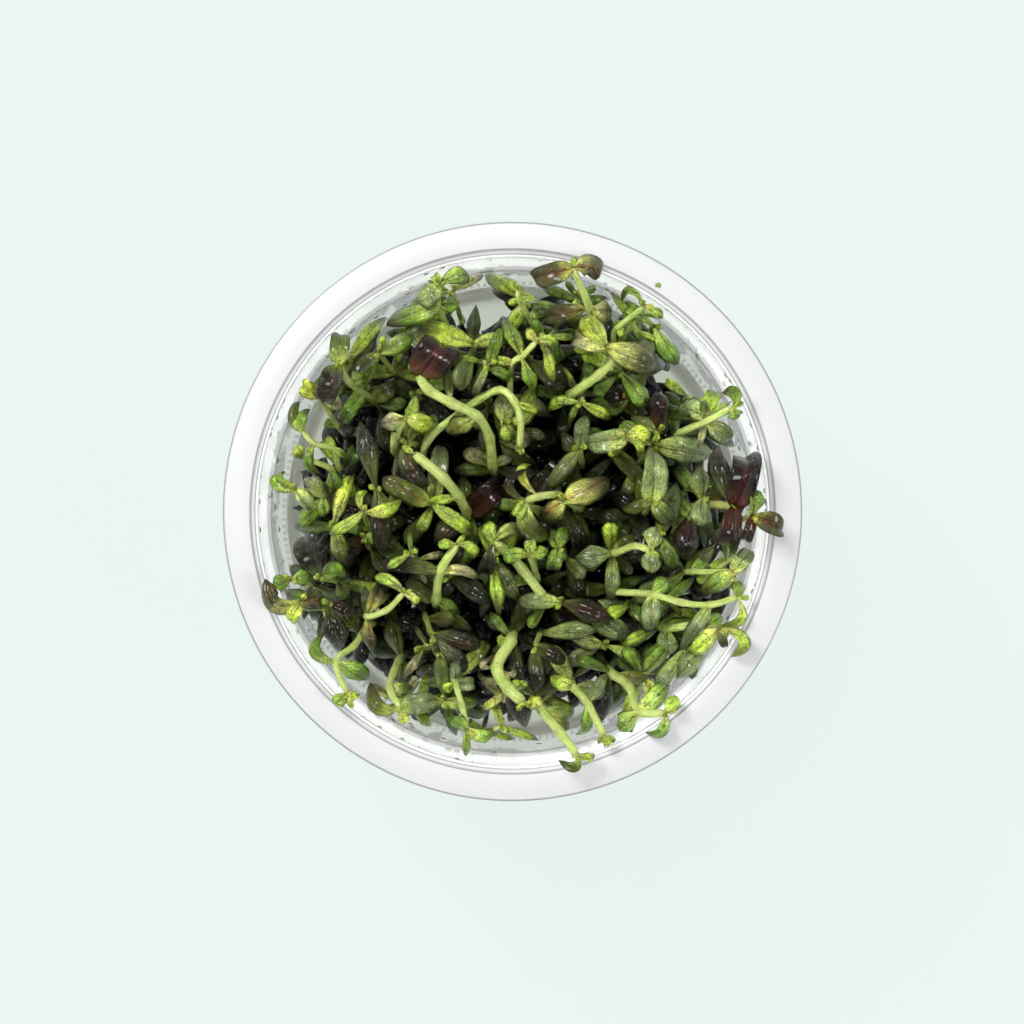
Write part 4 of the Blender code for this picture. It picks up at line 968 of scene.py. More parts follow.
def make_gel(settings):
    """The gel: wetted up the wall, with a slightly wavy top."""
    top = wall_radius(GEL_TOP) - SKIN
    foot = FLOOR_THICKNESS + SKIN
    profile = [(0, GEL_TOP)]
    profile += [(top * share, GEL_TOP) for share in (0.1, 0.25, 0.4, 0.55, 0.7, 0.82, 0.9)]
    profile += [(top - 1.4 * MM, GEL_TOP + 0.05 * MM), (top - 0.7 * MM, GEL_TOP + 0.25 * MM)]
    profile += [(top, GEL_TOP + settings.meniscus), (FLOOR_RADIUS - SKIN, foot + CORNER)]
    profile += [(FLOOR_RADIUS - CORNER, foot), (0, foot)]
    growth = Growth()
    lathe(growth, profile, 144)
    obj = growth.piece("gel_layer", (gel_finish(settings.gel_colour),), "gel", "gel")
    for vertex in obj.data.vertices:
        spot = vertex.co
        if abs(spot.z - GEL_TOP) < 0.5 * MM:
            spot.z += 0.12 * MM * math.sin(spot.x * 900) * math.cos(spot.y * 700 + 1)
    tidied(obj)


def stem_line(row_points, root_shift, lift):
    """A stem's nodes in metres and its line: the root moves by the shift, and the rest by the lift."""
    shift = Vector((*root_shift, 0))
    points = [(Vector((*row_points[0], ROOT_HEIGHT / MM))) * MM + shift * MM]
    for number, point in enumerate(row_points[1:]):
        fade = LOWER_SHIFT if number == 0 else 0.0
        points.append((Vector(point) + shift * fade + Vector((0, 0, lift))) * MM)
    knee = points[0].lerp(points[1], 0.5)
    knee.x = 0.35 * points[0].x + 0.65 * points[1].x
    knee.y = 0.35 * points[0].y + 0.65 * points[1].y
    return points, [points[0], knee, *points[1:]]


def tube(line, radius, sides=5):
    """The faces of a plain tube along a line, as points and polygons."""
    points, faces = [], []
    last = len(line) - 1
    for number, centre in enumerate(line):
        ahead = line[min(number + 1, last)] - line[max(number - 1, 0)]
        across = ahead.orthogonal().normalized()
        turn = Matrix.Rotation(2 * math.pi / sides, 3, ahead.normalized())
        for _ in range(sides):
            points.append(centre + across * radius)
            across = turn @ across
    for ring in range(last):
        faces += band(ring * sides, sides)
    return points, faces


def leaf_arch(base, leaf, length, lift, turn):
    """A leaf's reach from base to tip, the bend of its arch, and half its width."""
    tip = Vector(leaf[1:4]) * MM
    bow = Vector((*leaf[6:8], 0.0)) * MM if len(leaf) > 6 else Vector((0, 0, 0))
    spin = Matrix.Rotation(math.radians(turn), 3, "Z")
    reach = spin @ (tip - base) * length
    reach.z += lift * MM
    middle = reach / 2 + spin @ bow * length * 1.6
    middle.z += LEAF_ARCH * reach.length * 2
    return reach, middle, leaf[4] * MM / 2 * (0.5 + 0.5 * length)


def along_arch(base, reach, middle, share):
    """A spot on a leaf's arch, the way on from it, and the level direction across it."""
    centre = base + middle * (2 * share * (1 - share)) + reach * share * share
    ahead = middle * (2 * (1 - 2 * share)) + reach * 2 * share
    side = ahead.cross(UP)
    if side.length < 1e-6:
        side = Vector((1, 0, 0))
    return centre, ahead, side.normalized()


def leaf_shape(base, leaf, grow=0.0, length=1.0, lift=0.0, turn=0.0):
    """A leaf's points and faces: a keeled blade along an arch from its base to its tip."""
    reach, middle, half_width = leaf_arch(base, leaf, length, lift, turn)
    stations = SHORT_STATIONS if (Vector(leaf[1:4]) * MM - base).length < SHORT_LEAF else LEAF_STATIONS
    points, faces = [], [(0, 1, 2)]
    for share, width in stations:
        centre, ahead, side = along_arch(base, reach, middle, share)
        up = side.cross(ahead).normalized()
        edge = side * (half_width * width + grow)
        keel = centre - up * (LEAF_THICKNESS * 0.8 + grow)
        points += [centre - edge + up * grow, centre + edge + up * grow, keel]
    points.append(base + reach + (reach.normalized() * grow))
    for ring in range(len(stations) - 1):
        faces += [(a, d, c, b) for a, b, c, d in band(ring * 3, 3)]
    low = 3 * (len(stations) - 1)
    for side in range(3):
        faces.append((low + side, len(points) - 1, low + (side + 1) % 3))
    return points, faces


def box_of(points):
    """The lowest and highest corners of the points."""
    return [[pick(point[axis] for point in points) for axis in range(3)] for pick in (min, max)]


class Crowd:
    """What has been placed so far, found by the square of the cup's floor that it stands over."""

    SQUARE = 4 * MM

    def __init__(self):
        self.placed = []
        self.squares = {}

    def covered(self, low, high):
        """The squares under a box."""
        for column in range(math.floor(low[0] / self.SQUARE), math.floor(high[0] / self.SQUARE) + 1):
            for row in range(math.floor(low[1] / self.SQUARE), math.floor(high[1] / self.SQUARE) + 1):
                yield column, row

    def add(self, shape, owner):
        points, faces = shape
        low, high = box_of(points)
        for square in self.covered(low, high):
            self.squares.setdefault(square, []).append(len(self.placed))
        self.placed.append((owner, low, high, BVHTree.FromPolygons(points, faces)))

    def clears(self, shape, owner):
        points, faces = shape
        low, high = box_of(points)
        near = {number for square in self.covered(low, high) for number in self.squares.get(square, ())}
        tree = None
        for number in near:
            other, other_low, other_high, other_tree = self.placed[number]
            if other == owner:
                continue
            if any(low[axis] > other_high[axis] or high[axis] < other_low[axis] for axis in range(3)):
                continue
            tree = tree or BVHTree.FromPolygons(points, faces)
            if tree.overlap(other_tree):
                return False
        return True


def in_cup(points):
    """Whether the points stay inside the cup's wall or above its flange."""
    for point in points:
        radius = math.hypot(point.x, point.y)
        if radius > FLANGE_RADIUS - GAP:
            return False
        if point.z < CUP_HEIGHT + GAP and radius > MOUTH_RADIUS - GAP:
            return False
        if point.z < STEP_HEIGHT + WALL + GAP and radius > wall_radius(max(point.z, GEL_TOP)) - GAP:
            return False
    return True


def root_shifts():
    """The places to try for a root, from its row's own place outwards."""
    yield (0.0, 0.0)
    for distance in ROOT_SHIFTS[1:]:
        for step in range(ROOT_DIRECTIONS):
            angle = 2 * math.pi * step / ROOT_DIRECTIONS
            yield (distance * math.cos(angle), distance * math.sin(angle))


def placed_stem(row, owner, crowd):
    """The first stem of a row that clears the others, as its nodes and its line."""
    for lift in STEM_LIFTS:
        for shift in root_shifts():
            nodes, line = stem_line(row[2], shift, lift)
            shape = tube(line, row[0] * MM / 2 + GAP)
            if in_cup(line) and crowd.clears(shape, owner):
                return nodes, line
    raise RuntimeError(f"{owner} has no room for its stem")


def placed_leaf(base, leaf, owner, crowd, lengths=LEAF_LENGTHS, lifts=LEAF_LIFTS, turns=LEAF_TURNS, room=GAP):
    """The first form of a leaf that clears the others, as its shape and its fit, or None."""
    for length in lengths:
        for lift in lifts:
            for turn in turns:
                grown = leaf_shape(base, leaf, room, length, lift, turn)
                if in_cup(grown[0]) and crowd.clears(grown, owner):
                    return leaf_shape(base, leaf, 0.0, length, lift, turn), (length, lift, turn)
    return None


def evaluated_shape(obj):
    """An object's points and faces with its modifiers applied."""
    graph = bpy.context.evaluated_depsgraph_get()
    mesh = obj.evaluated_get(graph).to_mesh()
    points = [vertex.co.copy() for vertex in mesh.vertices]
    faces = [tuple(face.vertices) for face in mesh.polygons]
    return points, faces


def blend(first, second, share):
    """A colour between two, the second one at a share of 1."""
    share = min(max(share, 0.0), 1.0)
    return tuple(a + (b - a) * share for a, b in zip(first, second))


def scaled(colour, factor):
    """A brighter or darker colour, held at 1."""
    return tuple(min(value * factor, 1.0) for value in colour)


def tone_colours(plant, tone):
    """The foot, blade and tip colours of a leaf's tone."""
    body = tuple(getattr(plant, TONE_COLOURS[tone]))
    foot = tuple(plant.leaf_foot)
    red = tuple(plant.red_foot)
    if tone in "mr":
        foot = blend(red, foot, 0.05 if tone == "m" else 0.6)
    elif tone == "k":
        foot = blend(body, red, 0.25)
    elif tone == "d":
        foot = blend(foot, body, 0.75)
    elif tone in "ogs":
        foot = blend(foot, body, 0.3)
    return foot, body, blend(body, tuple(plant.leaf_tip), TIP_SHARES.get(tone, 0.4))


def blade_width(share, fullness, belly):
    """A leaf's width along its length: the larger its belly the further out it is widest, and the fuller it
    is the blunter is its tip."""
    edge = 1.0 - abs(2.0 * share**belly - 1.0) ** (1.7 + 2.0 * fullness)
    return max(max(edge, 0.0) ** (0.95 - 0.4 * fullness), 0.32 * (1 - share / 0.3))


def deep_shade(place):
    """Painted shade and light by height: growth is painted darker the lower it stands, where shade falls
    between the shoots, less so where light reaches it through the wall, and lighter than its tint at the top.
    """
    share = min(max((place.z / MM - DARK_HEIGHT) / DARK_RANGE, 0.0), 1.0)
    outer = min(max((place.xy.length / MM - OUTER_RADIUS) / OUTER_RANGE, 0.0), 1.0)
    return 0.03 + 0.2 * outer * (1 - share) + 1.67 * share * share * (3 - 2 * share)


class LeafForm:
    """What chance makes of one leaf: its light, its curl and twist, its outline, its ripples and its red."""

    def __init__(self, tone, draw, camber=None):
        young = tone in "bpg"
        self.light = draw.uniform(0.75, 1.35)
        self.warm = draw.uniform(-0.06, 0.06)
        self.chance = draw.random()
        self.curl = draw.uniform(0.6, 3.8) if young else draw.uniform(0.2, 2.2)
        self.hook = draw.uniform(0.0, 1.8) if young else draw.uniform(0.0, 0.8)
        self.twist = draw.uniform(-0.9, 0.9)
        self.tilt = draw.uniform(-0.35, 0.35)
        if camber is None:
            camber = draw.uniform(0.3, 1.0) if draw.random() < 0.75 else draw.uniform(-0.7, -0.2)
        self.camber = camber
        self.fullness = draw.choice((0.0, 0.15, 0.3, 0.45, 0.6, 0.9))
        if tone == "m":
            self.light *= 0.4
            self.curl = draw.uniform(1.8, 3.2)
            self.hook = draw.uniform(0.6, 1.1)
            self.fullness = 1.0
        self.rib_share = draw.choice((0.0, 0.5, 0.75, 0.75) if tone in "rmp" else (0.0, 0.0, 0.3, 0.45))
        self.belly = draw.uniform(0.8, 1.25)
        self.waves = draw.uniform(0, 6.28)
        self.foot_share = draw.uniform(0.25, 0.6)
        self.tip_start = draw.uniform(0.5, 0.85)

    def lie(self, base, reach, middle, share):
        """A spot on the curled and twisted arch, with the directions across the blade and up from it."""
        centre, ahead, side = along_arch(base, reach, middle, share)
        late = max(0.0, share - 0.45)
        centre.z -= self.curl * late**2 * reach.length
        centre -= Vector((reach.x, reach.y, 0)) * self.hook * late**2
        ahead -= Vector((reach.x * self.hook, reach.y * self.hook, self.curl * reach.length)) * (2 * late)
        side = Matrix.Rotation(self.twist * (share - 0.4) + self.tilt, 3, ahead.normalized()) @ side
        return centre, side, side.cross(ahead).normalized()

    def rise(self, share, spot, rank, half, depth):
        """How far the upper (1) or lower (-1) skin stands above the blade's middle."""
        rise = rank * depth / 2 * math.sqrt(max(0.0, 1 - spot * spot))
        rise -= self.camber * half * spot * spot
        rise += 0.13 * half * math.sin(math.pi * abs(spot))
        rise += 0.05 * half * math.sin(share * 14 + self.waves + spot * 2) * abs(spot)
        if abs(spot) < RIB_WIDTH:
            rise -= 0.07 * half if rank > 0 else 0.10 * half
        return rise

    def tint(self, share, spot, rank, colours, tone_and_painted_shade):
        """The colour of a spot: a pale foot, the blade, a darker tip and often a red midrib, all scaled by the
        painted shade and light.
        """
        foot, body, tip = colours
        colour = blend(foot, body, (share - 0.04) / self.foot_share)
        colour = blend(colour, tip, (share - self.tip_start) / 0.25)
        red, green, blue = colour
        colour = (red * tone_and_painted_shade * (1 + self.warm), green * tone_and_painted_shade, blue * tone_and_painted_shade * (1 - self.warm))
        if rank < 0:
            colour = blend(colour, foot, 0.25)
        elif abs(spot) < 0.2:
            colour = blend(colour, (0.14 * tone_and_painted_shade, 0.02 * tone_and_painted_shade, 0.015 * tone_and_painted_shade), self.rib_share * (1 - share))
        return tuple(min(value, 1.0) for value in colour)


def fine_leaf(growth, base, leaf, colours, draw, fit=AS_DRAWN, camber=None):
    """Adds a detailed leaf along the arch of the plain one."""
    reach, middle, half_width = leaf_arch(base, leaf, *fit)
    half_width *= FINE_WIDENING
    form = LeafForm(leaf[5], draw, camber)
    thick = min(FINE_THICKNESS, half_width * 0.42)
    points, tints, places = [], [], []
    for ring in range(LEAF_RINGS + 1):
        share = ring / LEAF_RINGS
        centre, side, up = form.lie(base, reach, middle, share)
        half = max(half_width * blade_width(share, form.fullness, form.belly), 0.03 * MM)
        depth = max(thick * (0.55 + 0.45 * math.sin(math.pi * share)), 0.02 * MM)
        depth *= min(1.0, half / half_width * 2)
        # Each leaf's random lightness times the painted shade and light by height.
        tone_and_painted_shade = form.light * deep_shade(centre)
        for rank, spots in ((1, TOP_SHARES), (-1, UNDER_SHARES)):
            for spot in spots:
                rise = form.rise(share, spot, rank, half, depth)
                points.append(centre + side * (spot * half) + up * rise)
                tints.append(form.tint(share, spot, rank, colours, tone_and_painted_shade))
                places.append((share, spot, form.chance))
    around = len(TOP_SHARES) + len(UNDER_SHARES)
    faces = [tuple(range(around))]
    for ring in range(LEAF_RINGS):
        faces += [(b, a, d, c) for a, b, c, d in band(ring * around, around)]
    faces.append(tuple(reversed(range(LEAF_RINGS * around, (LEAF_RINGS + 1) * around))))
    growth.add(points, faces, [LEAF_SLOT] * len(faces), tints, places)


def smooth_line(line, spacing):
    """A line through the given points with rounded bends."""
    padded = [line[0] * 2 - line[1], *line, line[-1] * 2 - line[-2]]
    out = []
    for before, start, end, after in zip(padded, padded[1:], padded[2:], padded[3:]):
        cuts = max(2, math.ceil((end - start).length / spacing))
        for cut in range(cuts):
            t = cut / cuts
            first = (end - before) * t
            second = (2 * before - 5 * start + 4 * end - after) * t * t
            third = (3 * start - before - 3 * end + after) * t**3
            out.append(0.5 * (2 * start + first + second + third))
    out.append(line[-1])
    return out


def fine_stem(growth, line, width, top_colour, low_colour, nodes, draw, spacing=1.0 * MM):
    """Adds a rounded stem that swells a little at its nodes, and gives the path that it follows."""
    path = smooth_line(line, spacing)
    last = len(path) - 1
    chance = draw.random()
    points, tints, places = [], [], []
    across = (path[1] - path[0]).orthogonal().normalized()
    for number, centre in enumerate(path):
        share = number / last
        ahead = (path[min(number + 1, last)] - path[max(number - 1, 0)]).normalized()
        across = (across - ahead * across.dot(ahead)).normalized()
        other = ahead.cross(across)
        near = min((centre - node).length for node in nodes)
        swell = 1 + NODE_SWELL * math.exp(-((near / (0.7 * MM)) ** 2))
        radius = width * MM / 2 * (1 - (1 - STEM_TAPER) * share) * swell
        if number == last:
            radius *= 0.55
        # Painted shade by height, held at the stem's own tint.
        tone_and_painted_shade = min(deep_shade(centre + Vector((0, 0, 3 * MM))), 1.0)
        colour = scaled(blend(low_colour, top_colour, (centre.z / MM - 24) / 12), tone_and_painted_shade)
        colour = blend(colour, NODE_RED, 0.28 * math.exp(-((near / (0.5 * MM)) ** 2)))
        for side in range(STEM_SIDES):
            angle = 2 * math.pi * side / STEM_SIDES
            points.append(centre + (across * math.cos(angle) + other * math.sin(angle)) * radius)
            tints.append(colour)
            places.append((share, math.sin(angle / 2), chance))
    faces = [tuple(reversed(range(STEM_SIDES)))]
    for ring in range(last):
        faces += band(ring * STEM_SIDES, STEM_SIDES)
    faces.append(tuple(range(last * STEM_SIDES, (last + 1) * STEM_SIDES)))
    growth.add(points, faces, None, tints, places)
    return path


def bud(growth, node, ahead, plant, draw):
    """Two tiny unfolding leaves at a shoot's tip."""
    turn = draw.uniform(0, math.pi)
    size = draw.uniform(1.1, 1.9)
    for side in (0, math.pi):
        aim = Vector((math.cos(turn + side), math.sin(turn + side), 0)) * 0.8 + ahead * 0.9
        leaf = (0, *(node / MM + aim * size), draw.uniform(0.7, 1.0), "b")
        fine_leaf(growth, node, leaf, tone_colours(plant, "b"), draw, camber=0.3)


def grow_stem(growth, nodes, line, width, top_colour, plant, draw):
    """Adds a stem rooted in the gel with a bud at its tip, and gives the path that it follows."""
    planted = [Vector((line[0].x, line[0].y, GEL_TOP - STEM_DEPTH)), *line]
    path = fine_stem(growth, planted, width, top_colour, tuple(plant.old_stem), nodes[1:], draw)
    bud(growth, nodes[-1], (path[-1] - path[-3]).normalized(), plant, draw)
    return path


def tone_at(height, draw):
    """A leaf's tone by its height in millimetres: older and darker further down."""
    if height < 27:
        return draw.choice(LOW_TONES)
    return draw.choice(MIDDLE_TONES if height < 36 else HIGH_TONES)


def leaf_pairs(growth, owner, path, heights, plant, draw, longest=8.4, tones=None):
    """Adds pairs of leaves at the given heights in millimetres, each pair a quarter turn from the last."""
    turn = draw.uniform(0, math.pi)
    for height in heights:
        spots = [point for point in path if point.z >= height * MM]
        if not spots:
            break
        node = spots[0]
        turn += math.pi / 2 + draw.uniform(-0.3, 0.3)
        for side in (0, math.pi):
            reach = draw.uniform(0.62, 1.0) * longest
            angle = turn + side + draw.uniform(-0.25, 0.25)
            tip = node / MM + Vector((math.cos(angle), math.sin(angle), 0)) * reach
            tip.z += draw.uniform(-0.5, 3.0) + draw.choice((0.0, 0.0, 2.5))
            if over_gap(tip.x, tip.y) or over_gap((tip.x + node.x / MM) / 2, (tip.y + node.y / MM) / 2, 0.8):
                continue
            tone = tone_at(node.z / MM + 0.28 * max(0.0, node.xy.length / MM - 14), draw)
            tone = draw.choice(tones) if tones else tone
            leaf = (0, *tip, reach * (draw.uniform(0.15, 0.28) if tones else draw.uniform(0.22, 0.36)), tone)
            trials = LOW_LENGTHS, LOW_LIFTS, LOW_TURNS
            found = placed_leaf(node, leaf, owner, Bed.crowd, *trials, room=LOW_LEAF_ROOM)
            if found:
                Bed.crowd.add(found[0], owner)
                fine_leaf(growth, node, leaf, tone_colours(plant, tone), draw, found[1])


def over_gap(x, y, share=1.0):
    """Whether a spot in millimetres stands in one of the openings where gel and wall show."""
    return any(math.hypot(x - gap_x, y - gap_y) < reach * share for gap_x, gap_y, reach in GAPS_IN_GROWTH)


class Bed:
    """What the tall shoots and the growth between them share: the places taken, and the shoots under way."""

    crowd = None
    shoots = []


def make_shoots(plant):
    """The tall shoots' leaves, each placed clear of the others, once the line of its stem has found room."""
    Bed.crowd = Crowd()
    Bed.shoots = []
    for name in ("cup", "gel"):
        Bed.crowd.add(evaluated_shape(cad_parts[name]), name)
    for number, row in enumerate(SHOOTS, 1):
        name = f"shoot_{number:02d}"
        draw = random.Random(f"{plant.seed} {name}")
        nodes, line = placed_stem(row, name, Bed.crowd)
        Bed.crowd.add(tube(line, row[0] * MM / 2), name)
        growth = Growth()
        for leaf in row[3]:
            base = nodes[leaf[0]]
            found = placed_leaf(base, leaf, name, Bed.crowd)
            if found:
                Bed.crowd.add(found[0], name)
                fine_leaf(growth, base, leaf, tone_colours(plant, leaf[5]), draw, found[1])
        Bed.shoots.append((name, row, nodes, line, growth, draw))


def finish_shoots(plant):
    """The tall shoots' stems, buds and lower leaves, once every leaf of the layout has its place."""
    for name, row, nodes, line, growth, draw in Bed.shoots:
        width, tone = row[:2]
        aged = {"olive": plant.old_stem, "dark": plant.old_stem, "maroon": plant.red_foot}.get(tone)
        top = tuple(plant.stem)
        if aged is not None:
            top = blend(top, tuple(aged), 0.35)
        path = grow_stem(growth, nodes, line, width, top, plant, draw)
        highest = nodes[1].z / MM - 2.0
        leaf_pairs(growth, name, path, [height for height in SHOOT_PAIRS if height < highest], plant, draw)
        growth.piece(name + "_fine", plant_finishes(), RECORD_SLOTS[tone], name)


def free_stem(row, owner, crowd):
    """A stem that clears the others, or None where there is no room."""
    for shift in SMALL_SHIFTS:
        nodes, line = stem_line(row, shift, 0.0)
        if in_cup(line) and crowd.clears(tube(line, SMALL_STEM_ROOM), owner):
            return nodes, line
    return None


def golden_spot(number, count, reach, inner=0.0, turn=0.0):
    """One of many even spots on a disc in millimetres, after its share of the reach."""
    spread = math.sqrt(inner + (1 - inner) * (number + 0.5) / count)
    angle = GOLDEN_ANGLE * number + turn
    return spread, reach * spread * math.cos(angle), reach * spread * math.sin(angle)


def small_shoot(plant, name, row, draw, heights, widths, longest, slot, greens=None, tones=None):
    """Adds one of the shoots between the tall ones, where there is room for it."""
    found = free_stem(row, name, Bed.crowd)
    if found is None:
        return
    nodes, line = found
    width = draw.uniform(*widths)
    Bed.crowd.add(tube(line, width * MM / 2), name)
    growth = Growth()
    stem = tuple(plant.stem)
    if greens:
        stem = blend(stem, tuple(plant.green), draw.uniform(*greens))
    path = grow_stem(growth, nodes, line, width, stem, plant, draw)
    leaf_pairs(growth, name, path, heights, plant, draw, longest, tones)
    growth.piece(name, plant_finishes(), slot)


def make_undergrowth(plant):
    """Shorter shoots that fill the room between the tall ones, from the middle outwards."""
    for number in range(plant.thickets):
        name = f"undergrowth_{number + 1:02d}"
        draw = random.Random(f"{plant.seed} {name}")
        spread, x, y = golden_spot(number, plant.thickets, THICKET_REACH)
        if over_gap(x, y, 0.9):
            continue
        top = draw.uniform(*THICKET_TOPS) + 5.5 * spread**3
        lean = 0.86 + draw.uniform(-0.05, 0.05)
        row = ((x * lean, y * lean), (x + draw.uniform(-1.5, 1.5), y + draw.uniform(-1.5, 1.5), top))
        heights = [height for height in LOW_PAIRS if height < top - 2.0] + [top - 0.4]
        small_shoot(
            plant, name, row, draw, heights, widths=(0.8, 1.25), longest=9.0, slot="leaf_dark",
            greens=(0.1, 0.5),
        )


def make_sprigs(plant):
    """Slim young shoots with short bright leaves that come up between the others."""
    for number in range(plant.sprigs):
        name = f"sprig_{number + 1:03d}"
        draw = random.Random(f"{plant.seed} {name}")
        spread, x, y = golden_spot(number, plant.sprigs, SPRIG_REACH, inner=0.22, turn=1.3)
        if over_gap(x, y):
            continue
        top = draw.uniform(*SPRIG_TOPS) + 3.0 * spread**3
        tip = (x + draw.uniform(-3, 3), y + draw.uniform(-3, 3), top)
        row = ((x * 0.85, y * 0.85), (x, y, top - 6), tip)
        heights = (top - 8.0, top - 5.0, top - 2.6, top - 0.6)
        small_shoot(
            plant, name, row, draw, heights, widths=(0.6, 0.95), longest=6.2, slot="leaf_bright",
            tones=SPRIG_TONES,
        )


def make_litter(plant):
    """Old dark leaves that lie over each other on the gel, in a middle bed and one around it, laid thick; the
    painted shade by height makes them nearly black, so the deep gaps read as shade.
    """
    beds = (("litter_middle", Growth()), ("litter_outer", Growth()))
    draw = random.Random("litter")
    for number in range(plant.litter):
        _, x, y = golden_spot(number, plant.litter, LITTER_REACH, turn=draw.uniform(-0.1, 0.1))
        if over_gap(x, y, 0.8):
            continue
        height = GEL_TOP / MM + draw.uniform(*LITTER_HEIGHTS)
        turn = draw.uniform(0, 2 * math.pi)
        reach = draw.uniform(5.0, 8.5)
        base = Vector((x, y, height)) * MM
        tip = (x + reach * math.cos(turn), y + reach * math.sin(turn), height + draw.uniform(-0.4, 2.5))
        if math.hypot(*tip[:2]) > 31.0 or over_gap(tip[0], tip[1], 0.8):
            continue
        leaf = (0, *tip, reach * draw.uniform(0.36, 0.52), draw.choice("kkdk"))
        _, growth = beds[2 * number // plant.litter]
        fine_leaf(growth, base, leaf, tone_colours(plant, leaf[5]), draw)
    for name, growth in beds:
        growth.piece(name, plant_finishes(), "leaf_dark")


def make_roots(gel):
    """Thin roots that wander down into the gel from each stem."""
    growth = Growth()
    draw = random.Random("roots")
    colour = tuple(gel.root_colour)
    for _, _, _, line, _, _ in Bed.shoots:
        start = Vector((line[0].x, line[0].y, GEL_TOP - ROOT_DEPTH))
        for _ in range(gel.roots):
            angle = draw.uniform(0, 2 * math.pi)
            points = [start]
            aim = Vector((math.cos(angle), math.sin(angle), -draw.uniform(0.3, 1.4))).normalized()
            for _ in range(ROOT_BENDS):
                aim = (aim + Vector([draw.uniform(-0.5, 0.5) for _ in range(3)])).normalized()
                after = points[-1] + aim * ROOT_STEP * MM
                after.z = min(max(after.z, FLOOR_THICKNESS + 0.8 * MM), GEL_TOP - 1 * MM)
                if math.hypot(after.x, after.y) > FLOOR_RADIUS - 1.2 * MM:
                    after.x *= 0.95
                    after.y *= 0.95
                points.append(after)
            fine_stem(growth, points, draw.uniform(*ROOT_WIDTHS), colour, colour, [start], draw, 1.2 * MM)
    growth.piece("roots", (root_finish(gel.root_colour),), "gel")


def make_speck(plant):
    """The scrap of leaf that lies on the seat of the flange."""
    growth = Growth()
    draw = random.Random("speck")
    base = Vector((19.7 * MM, 31.0 * MM, CUP_HEIGHT + 0.1 * MM))
    leaf = (0, 20.4, 31.6, CUP_HEIGHT / MM + 0.3, 0.8, "b")
    fine_leaf(growth, base, leaf, tone_colours(plant, "g"), draw)
    growth.piece("leaf_scrap", plant_finishes(), "leaf_green")


def make_floor(scene, stage):
    """The pale floor, just under the cup."""
    mesh = bpy.data.meshes.new("studio_floor")
    corners = [(x * FLOOR_REACH, y * FLOOR_REACH, 0) for x, y in ((-1, -1), (1, -1), (1, 1), (-1, 1))]
    mesh.from_pydata(corners, [], [(0, 1, 2, 3)])
    mesh.materials.append(floor_finish(stage.floor_colour, stage.glow))
    floor = bpy.data.objects.new("studio_floor", mesh)
    floor.location.z = -0.05 * MM
    scene.collection.objects.link(floor)


def make_sky(scene, stage):
    """Even light all round, brightest at the horizon."""
    scene.world = scene.world or bpy.data.worlds.new("studio")
    sky = Finish("studio_sky", scene.world, "Background")
    height = sky.parts_of(sky.node("ShaderNodeTexCoord", output="Generated"))[2]
    level = (1.0 - height * 3.0).clamp() * (1.0 - stage.zenith * 4)
    level = level + (1.0 - height * 0.9).clamp() * stage.zenith * 4
    sky.set(
        Color=sky.mix(paint((0.0, 0.0, 0.0)), paint(linear(246, 249, 248)), level),
        Strength=stage.sky,
    )


def make_lights(scene, stage):
    """Three round softboxes, aimed at the middle of the cup."""
    for name, place, size, share, colour in SOFTBOXES:
        light = bpy.data.lights.new(name, "AREA")
        light.shape = "DISK"
        light.size = size
        light.energy = stage.softbox * share
        light.color = colour
        obj = bpy.data.objects.new(name, light)
        obj.location = place
        aim = Vector((0, 0, 0.03)) - Vector(place)
        obj.rotation_euler = aim.to_track_quat("-Z", "Y").to_euler()
        obj.visible_camera = False
        scene.collection.objects.link(obj)


def make_camera(scene, stage):
    """The camera, straight above, with the flange as large and in the same place as in the photograph."""
    pixel = FLANGE_RADIUS / FLANGE_EDGE_PX
    middle = PHOTO_WIDTH_PX / 2
    view_width = PHOTO_WIDTH_PX / FLANGE_EDGE_PX * FLANGE_RADIUS
    camera = bpy.data.cameras.new("camera")
    camera.sensor_width = 36
    camera.lens = camera.sensor_width * stage.camera_height / view_width
    camera.clip_start = 0.01
    viewer = bpy.data.objects.new("camera", camera)
    viewer.location = (
        (middle - PHOTO_CENTRE_PX[0]) * pixel,
        (PHOTO_CENTRE_PX[1] - middle) * pixel,
        CUP_HEIGHT + stage.camera_height,
    )
    scene.collection.objects.link(viewer)
    scene.camera = viewer
    scene.view_settings.view_transform = "Standard"
    scene.view_settings.look = "None"


class BACOPA_OT_cup(bpy.types.Operator):
    """Builds the clear cup with its flange, ribs and condensation."""

    bl_idname = "bacopa.cup"
    bl_label = "Cup"

    def execute(self, context):
        settings = context.scene.bacopa_cup
        make_cup(settings)
        make_drops(settings)
        return {"FINISHED"}


class BACOPA_OT_gel(bpy.types.Operator):
    """Builds the layer of culture gel."""

    bl_idname = "bacopa.gel"
    bl_label = "Gel"

    def execute(self, context):
        make_gel(context.scene.bacopa_gel)
        return {"FINISHED"}


class BACOPA_OT_shoots(bpy.types.Operator):
    """Grows the tall shoots of the layout, and lays the scrap of leaf on the flange."""

    bl_idname = "bacopa.shoots"
    bl_label = "Tall shoots"

    def execute(self, context):
        for make in (make_shoots, finish_shoots, make_speck):
            make(context.scene.bacopa_plant)
        return {"FINISHED"}


class BACOPA_OT_undergrowth(bpy.types.Operator):
    """Fills the room between the tall shoots."""

    bl_idname = "bacopa.undergrowth"
    bl_label = "Undergrowth"

    def execute(self, context):
        if Bed.crowd is None:
            raise RuntimeError("the undergrowth needs the tall shoots in place first")
        for make in (make_sprigs, make_undergrowth, make_litter):
            make(context.scene.bacopa_plant)
        return {"FINISHED"}


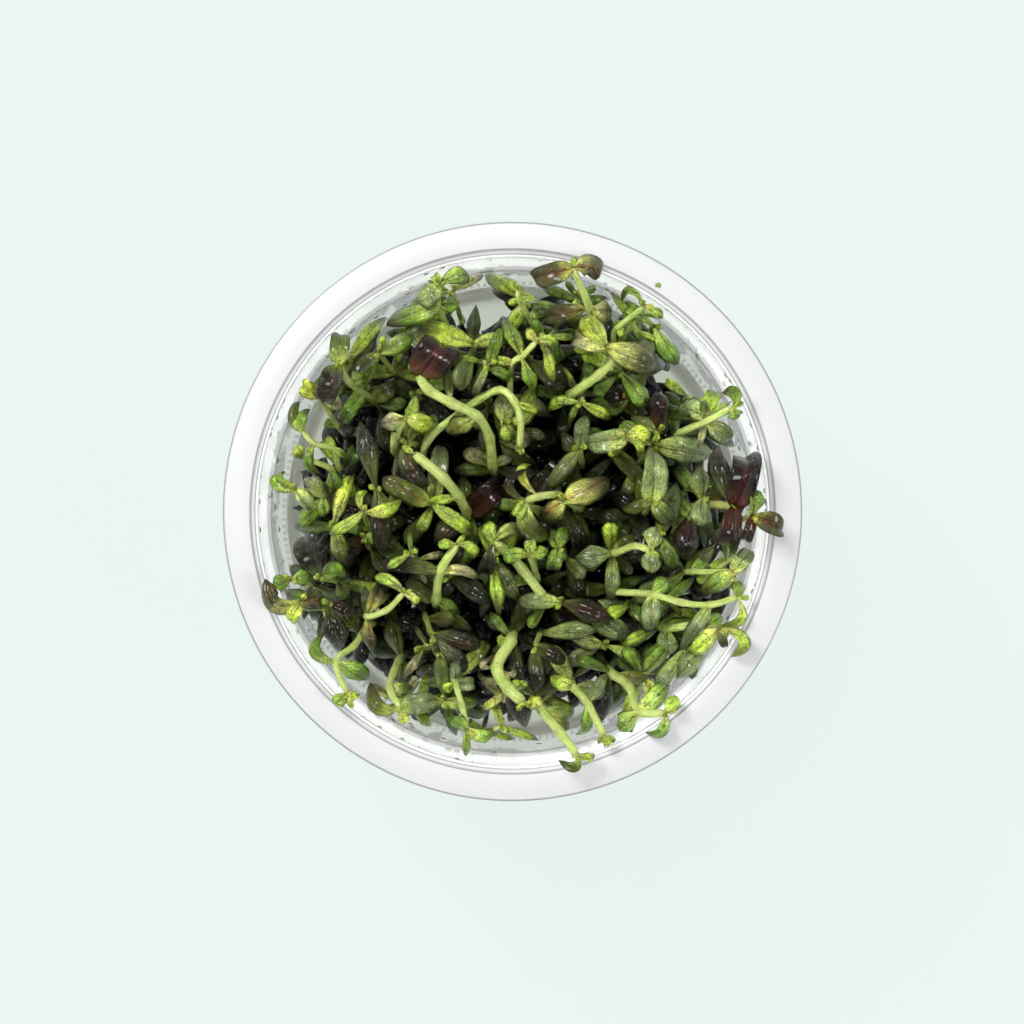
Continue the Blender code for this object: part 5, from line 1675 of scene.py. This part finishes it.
class BACOPA_OT_roots(bpy.types.Operator):
    """Grows the roots in the gel."""

    bl_idname = "bacopa.roots"
    bl_label = "Roots"

    def execute(self, context):
        make_roots(context.scene.bacopa_gel)
        return {"FINISHED"}


class BACOPA_OT_stage(bpy.types.Operator):
    """Sets the floor, the lights and the camera."""

    bl_idname = "bacopa.stage"
    bl_label = "Stage"

    def execute(self, context):
        for make in (make_floor, make_sky, make_lights, make_camera):
            make(context.scene, context.scene.bacopa_stage)
        return {"FINISHED"}


class BACOPA_PT_panel(bpy.types.Panel):
    """The sizes, the colours and the operators."""

    bl_idname = "BACOPA_PT_panel"
    bl_label = "Bacopa in cup"
    bl_space_type = "VIEW_3D"
    bl_region_type = "UI"
    bl_category = "Bacopa"

    def draw(self, context):
        for group, operators in PANEL_ROWS:
            settings = getattr(context.scene, group)
            box = self.layout.box()
            for name in settings.__annotations__:
                box.prop(settings, name)
            for operator in operators:
                box.operator(operator.bl_idname)


GROUPS = {
    "bacopa_cup": BACOPA_PG_cup,
    "bacopa_gel": BACOPA_PG_gel,
    "bacopa_plant": BACOPA_PG_plant,
    "bacopa_stage": BACOPA_PG_stage,
}
PANEL_ROWS = (
    ("bacopa_cup", (BACOPA_OT_cup,)),
    ("bacopa_gel", (BACOPA_OT_gel, BACOPA_OT_roots)),
    ("bacopa_plant", (BACOPA_OT_shoots, BACOPA_OT_undergrowth)),
    ("bacopa_stage", (BACOPA_OT_stage,)),
)
OPERATORS = (
    BACOPA_OT_stage,
    BACOPA_OT_cup,
    BACOPA_OT_gel,
    BACOPA_OT_shoots,
    BACOPA_OT_undergrowth,
    BACOPA_OT_roots,
)


def register():
    for name, group in GROUPS.items():
        bpy.utils.register_class(group)
        setattr(bpy.types.Scene, name, PointerProperty(type=group))
    for operator in OPERATORS:
        bpy.utils.register_class(operator)
    bpy.utils.register_class(BACOPA_PT_panel)


def unregister():
    bpy.utils.unregister_class(BACOPA_PT_panel)
    for operator in reversed(OPERATORS):
        bpy.utils.unregister_class(operator)
    for name, group in GROUPS.items():
        delattr(bpy.types.Scene, name)
        bpy.utils.unregister_class(group)


def main():
    register()
    bpy.ops.bacopa.stage()
    bpy.ops.bacopa.cup()
    bpy.ops.bacopa.gel()
    bpy.ops.bacopa.shoots()
    bpy.ops.bacopa.undergrowth()
    bpy.ops.bacopa.roots()


if __name__ == "__main__":
    main()
